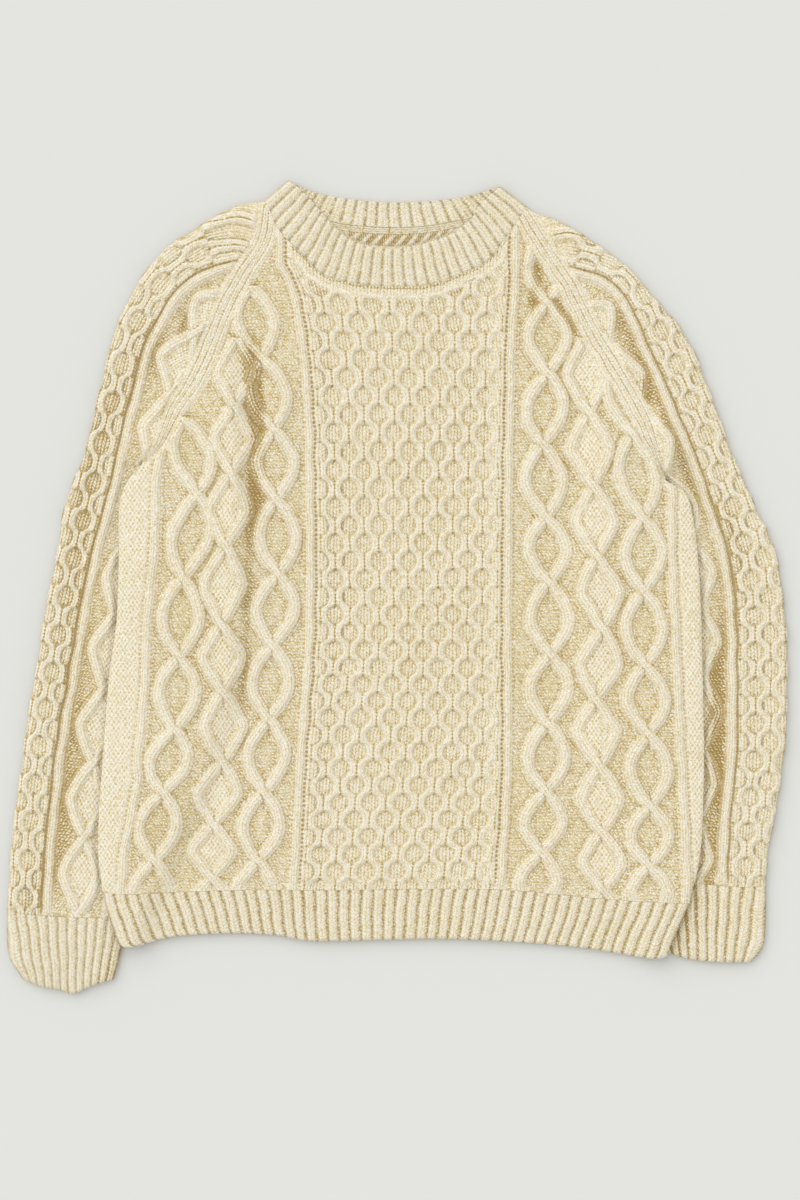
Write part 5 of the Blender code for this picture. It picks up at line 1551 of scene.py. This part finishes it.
def cuff(side):
    """A ring of ribbing, its upper half worked finely where it shows."""
    ends = (smooth(CUFF_OUT[side], 1.0), smooth(CUFF_IN[side], 1.0))
    corner = smooth(HEM_END[side], 3.0)
    halves = []
    for upper in (True, False):
        grid = Ribbing(inset_line(CUFF_SEAM[side]), smooth(CUFF_EDGE[side], 2.0), CUFF_RIBS[side],
                       10 if upper else 6, CUFF_ROWS, ends=ends, groove_shade=CUFF_GROOVE_SHADE[side])
        points = np.column_stack([grid.x, grid.y])
        full = grid.spread(folded(points, ends))
        wide = np.linalg.norm(grid.flat[-1, 0] - grid.flat[0, 0])
        if upper:
            off = measured(points, corner)[1] * (1 if side == "left" else -1)
            bare = grid.spread(ease(off / BARE_FADE))
            # Painted shadow beside the hem, which lies over the cuff, and painted shade at the inner lower
            # corner.
            hidden, corner_shade = CUFF_SHADOW[side]
            grid.stitch[..., 2] += grid.spread(hidden * np.exp(-(np.maximum(off, 0) / BESIDE_REACH) ** 2))
            from_end = np.abs(measured(points, ends[1])[1]) + np.clip(points[:, 1] - CORNER_TOP, 0, 99)
            grid.stitch[..., 2] += grid.spread(corner_shade * np.exp(-(from_end / CORNER_REACH) ** 2))
            outer = MIDDLE + full * (UPPER_FOOT - MIDDLE + (WALL + grid.high * bare) * grid.rim)
            inner = MIDDLE + (UPPER_FOOT - MIDDLE) * full
        else:
            thick = LOWER_TOP - PRESSED * (RIB_HIGH - grid.high)
            outer = MIDDLE - full * (MIDDLE - LOWER_TOP + thick * grid.rim)
            inner = MIDDLE - (MIDDLE - LOWER_TOP) * full
        part = sections(grid, outer, inner, grid.narrowed(WALL / wide))
        halves.append(part if upper else tuple(rows[::-1][1:-1] for rows in part))
    return lofted(halves, closed=True)


cuffs = {}
for side in ("left", "right"):
    cuffs[side] = cuff(side).object(f"{side}_cuff_knit", RIB_WOOL)
    dress(cuffs[side], f"{side}_cuff")

# %% [markdown]
# ### The neckband
#
# The neckband is a ring of ribbing that stands up from the neck. Laid flat it folds at the shoulders: its
# front half shows its right side, and behind it the back half shows its inner side, ribbed too.

# %% Neckband
RIDGE_WIDE, RIDGE_HIGH = 7.0, 1.4  # inside, the band's first rows make a twisted ridge
RIDGE_TURN = (6.5, 9.0)  # the length of one twist along the ridge, and across it
BAND_LONG = 230.0  # about half the ring
BAND_ROWS = 32
BAND_SHARE = 0.42  # the neckband's knit columns are wider than its gaps
BAND_ROUND = 6.0  # how far in from the band's folds it rounds
FOLD_REACH = 45.0  # how far from a fold the shadow painted behind the front half is deeper
# The back half's inner side: how far it sinks, how much of its ribs stands out, and how far they may rise.
BAND_SUNK, BAND_RELIEF, BAND_TOP = 0.9, 0.75, 0.3


def band_line(table):
    """The neckband's seam: a neck line and the ends of the band's folds."""
    return np.vstack([BAND_END["left"][0], smooth(table, 2.0), BAND_END["right"][0]])


def inside_of_neck(grid):
    """The back half's inner side: a twisted ridge along its seam, and the shadow painted behind the front
    half.
    """
    run = grid.t[:, None] * BAND_LONG + 0 * grid.down
    ridge = ease((RIDGE_WIDE - grid.down) / 2)
    twist = 0.4 * np.cos(TURN * (run / RIDGE_TURN[0] + grid.down / RIDGE_TURN[1]))
    grid.high = grid.high * (1 - ridge) + RIDGE_HIGH * (0.6 + twist) * ridge
    grid.stitch[..., 0] = np.where(ridge > 0.5, grid.down / 4.0, grid.stitch[..., 0])
    grid.stitch[..., 1] = np.where(ridge > 0.5, run / V_TALL, grid.stitch[..., 1])
    # Painted shade in the ridge's twists, and the shadow behind the front half, deeper near the folds.
    grid.stitch[..., 2] = grid.stitch[..., 2] * (1 - ridge) + (0.6 - twist) * ridge
    behind = grid.spread(measured(np.column_stack([grid.x, grid.y]), smooth(BAND_EDGE_FRONT, 2.0))[1])
    corner = np.exp(-(np.minimum(grid.t, 1 - grid.t)[:, None] * BAND_LONG / FOLD_REACH) ** 2)
    grid.stitch[..., 2] += (1.3 + 1.5 * corner) * np.exp(-(behind / (10 + 8 * corner)) ** 2)


def neckband():
    """A ring of ribbing: the front half's outer side shows, and the back half's inner side."""
    halves = []
    for front_half, seam, edge, ribs in ((True, NECK_FRONT, BAND_EDGE_FRONT, BAND_FRONT_RIBS),
                                         (False, NECK_BACK, BAND_EDGE_BACK, BAND_BACK_RIBS)):
        grid = Ribbing(band_line(seam), smooth(edge, 2.0), ribs, 9, BAND_ROWS, share=BAND_SHARE,
                       groove_shade=1.0 if front_half else 1.15)
        if not front_half:
            inside_of_neck(grid)
        length = steps_of(grid.flat[:, BAND_ROWS // 2]).sum()
        from_end = np.minimum(grid.t, 1 - grid.t)[:, None] * length
        full = np.sqrt(1 - np.clip(1 - from_end / BAND_ROUND, 0, 1) ** 2) + 0 * grid.high
        if front_half:
            outer = MIDDLE + full * (UPPER_FOOT - MIDDLE + (WALL + grid.high) * grid.rim)
            inner = MIDDLE + (UPPER_FOOT - MIDDLE) * full
        else:
            inner = MIDDLE - (MIDDLE - LOWER_TOP + BAND_SUNK) * full * grid.rim
            inner = np.minimum(inner + BAND_RELIEF * grid.high * full, LOWER_TOP + BAND_TOP)
            outer = MIDDLE - full * MIDDLE * grid.rim
        part = sections(grid, outer, inner, grid.narrowed(WALL / length), BAND_ROWS)
        halves.append(part if front_half else tuple(rows[::-1][1:-1] for rows in part))
    return lofted(halves, closed=True)


band = neckband().object("neckband_knit", RIB_WOOL)
dress(band, "neckband")

# %% [markdown]
# ## What the cloth is
#
# Each sheet but the neckband prints how large its knitting is laid out flat: its width, length and area.
# A tube counts both its layers. The neckband's area is worked out, but not printed.


def declare(piece, outline, layers):
    """Prints a sheet's width, length and area in metres, from its outline in millimetres and its layers."""
    width, length = (outline.max(axis=0) - outline.min(axis=0)) * MM
    flat, cut = (float(width * layers), float(length)), float(abs(area(outline)) * MM**2 * layers)
    print(f"{piece.name}: {flat[0]:.3f} x {flat[1]:.3f} m, {cut:.4f} m2")


def ring_outline(seam, edge):
    """The closed line round a strip of ribbing, from its seam to its edge."""
    return np.vstack([smooth(seam, 4.0), smooth(edge, 4.0)[::-1]])


declare(back, back_outline, 1)
for name, outline in FRONT_PARTS.items():
    declare(front[name], outline, 1)
for side in ("left", "right"):
    declare(sleeves[side], sleeve_outline(side)[0], 2)
    declare(cuffs[side], ring_outline(CUFF_SEAM[side], CUFF_EDGE[side]), 2)
hem_ring = joined(smooth(HEM_END["left"], 4), smooth(HEM_EDGE, 4), smooth(HEM_END["right"], 4)[::-1],
                  smooth(HEM_SEAM, 4)[::-1])
declare(hems["front_hem_rib"], hem_ring, 1)
declare(hems["back_hem_rib"], hem_ring, 1)
band_front = ring_outline(NECK_FRONT, BAND_EDGE_FRONT)
band_back = ring_outline(NECK_BACK, BAND_EDGE_BACK)
band_cut = (abs(area(band_front)) + abs(area(band_back))) * MM**2

# %% [markdown]
# ## Floor, light and camera
#
# The sweater lies on a pale, plain surface. The sky is an even pale grey, as in a bright studio, and one
# large soft lamp from above and the left gives the knitting its shape. The camera looks straight down.

# %% Floor and light
FLOOR_HALF, FLOOR_AT = 20.0, -0.0004  # in metres: wide enough for any view, and just below the wool


def pale_floor():
    """A plain matt surface, which is part of the stage and not of the sweater."""
    shader = Shader("pale floor")
    shader.feed(shader.surface.inputs["Base Color"], (0.635, 0.645, 0.63, 1))
    shader.feed(shader.surface.inputs["Roughness"], 0.9)
    shader.feed(shader.surface.inputs["Specular IOR Level"], 0.1)
    mesh = bpy.data.meshes.new("floor")
    corners = ((-1, -1), (1, -1), (1, 1), (-1, 1))
    mesh.from_pydata([(x * FLOOR_HALF, y * FLOOR_HALF, FLOOR_AT) for x, y in corners], [], [(0, 1, 2, 3)])
    mesh.materials.append(shader.material)
    floor = bpy.data.objects.new("floor", mesh)
    bpy.context.scene.collection.objects.link(floor)


def soft_sun(name, way, spread, power, colour):
    """A distant lamp as wide as a soft box: it lights the whole floor evenly."""
    data = bpy.data.lights.new(name, "SUN")
    data.angle, data.energy, data.color = np.radians(spread), power, colour
    lamp = bpy.data.objects.new(name, data)
    lamp.rotation_euler = (-Vector(way)).to_track_quat("-Z", "Y").to_euler()
    bpy.context.scene.collection.objects.link(lamp)


def sky(colour, strength):
    """An even light from all sides."""
    world = bpy.data.worlds.new("studio")
    world.use_nodes = True
    background = world.node_tree.nodes["Background"]
    background.inputs["Color"].default_value = colour
    background.inputs["Strength"].default_value = strength
    bpy.context.scene.world = world


pale_floor()
sky((1.0, 0.985, 0.955, 1), 0.92)
soft_sun("large soft lamp", (-0.75, 0.85, 1.25), 60.0, 1.30, (0.985, 0.99, 1.0))
bpy.context.scene.view_settings.view_transform = "Standard"
bpy.context.scene.view_settings.look = "None"
print("lit by a sky and one lamp")

# %% [markdown]
# ### The camera
#
# A long lens from high above shows the outline almost without perspective.

# %% Camera
CAMERA_AT = (0.00227, -0.01275, 2.672)


def camera(place, lens):
    """A camera that looks straight down."""
    data = bpy.data.cameras.new("camera")
    data.lens, data.sensor_width, data.sensor_fit = lens, 36.0, "AUTO"
    made = bpy.data.objects.new("camera", data)
    made.location = place
    made.rotation_euler = (0.0, 0.0, 0.0)
    bpy.context.scene.collection.objects.link(made)
    bpy.context.scene.camera = made


camera(CAMERA_AT, 85.0)
print("the camera looks straight down from", CAMERA_AT[2], "m")
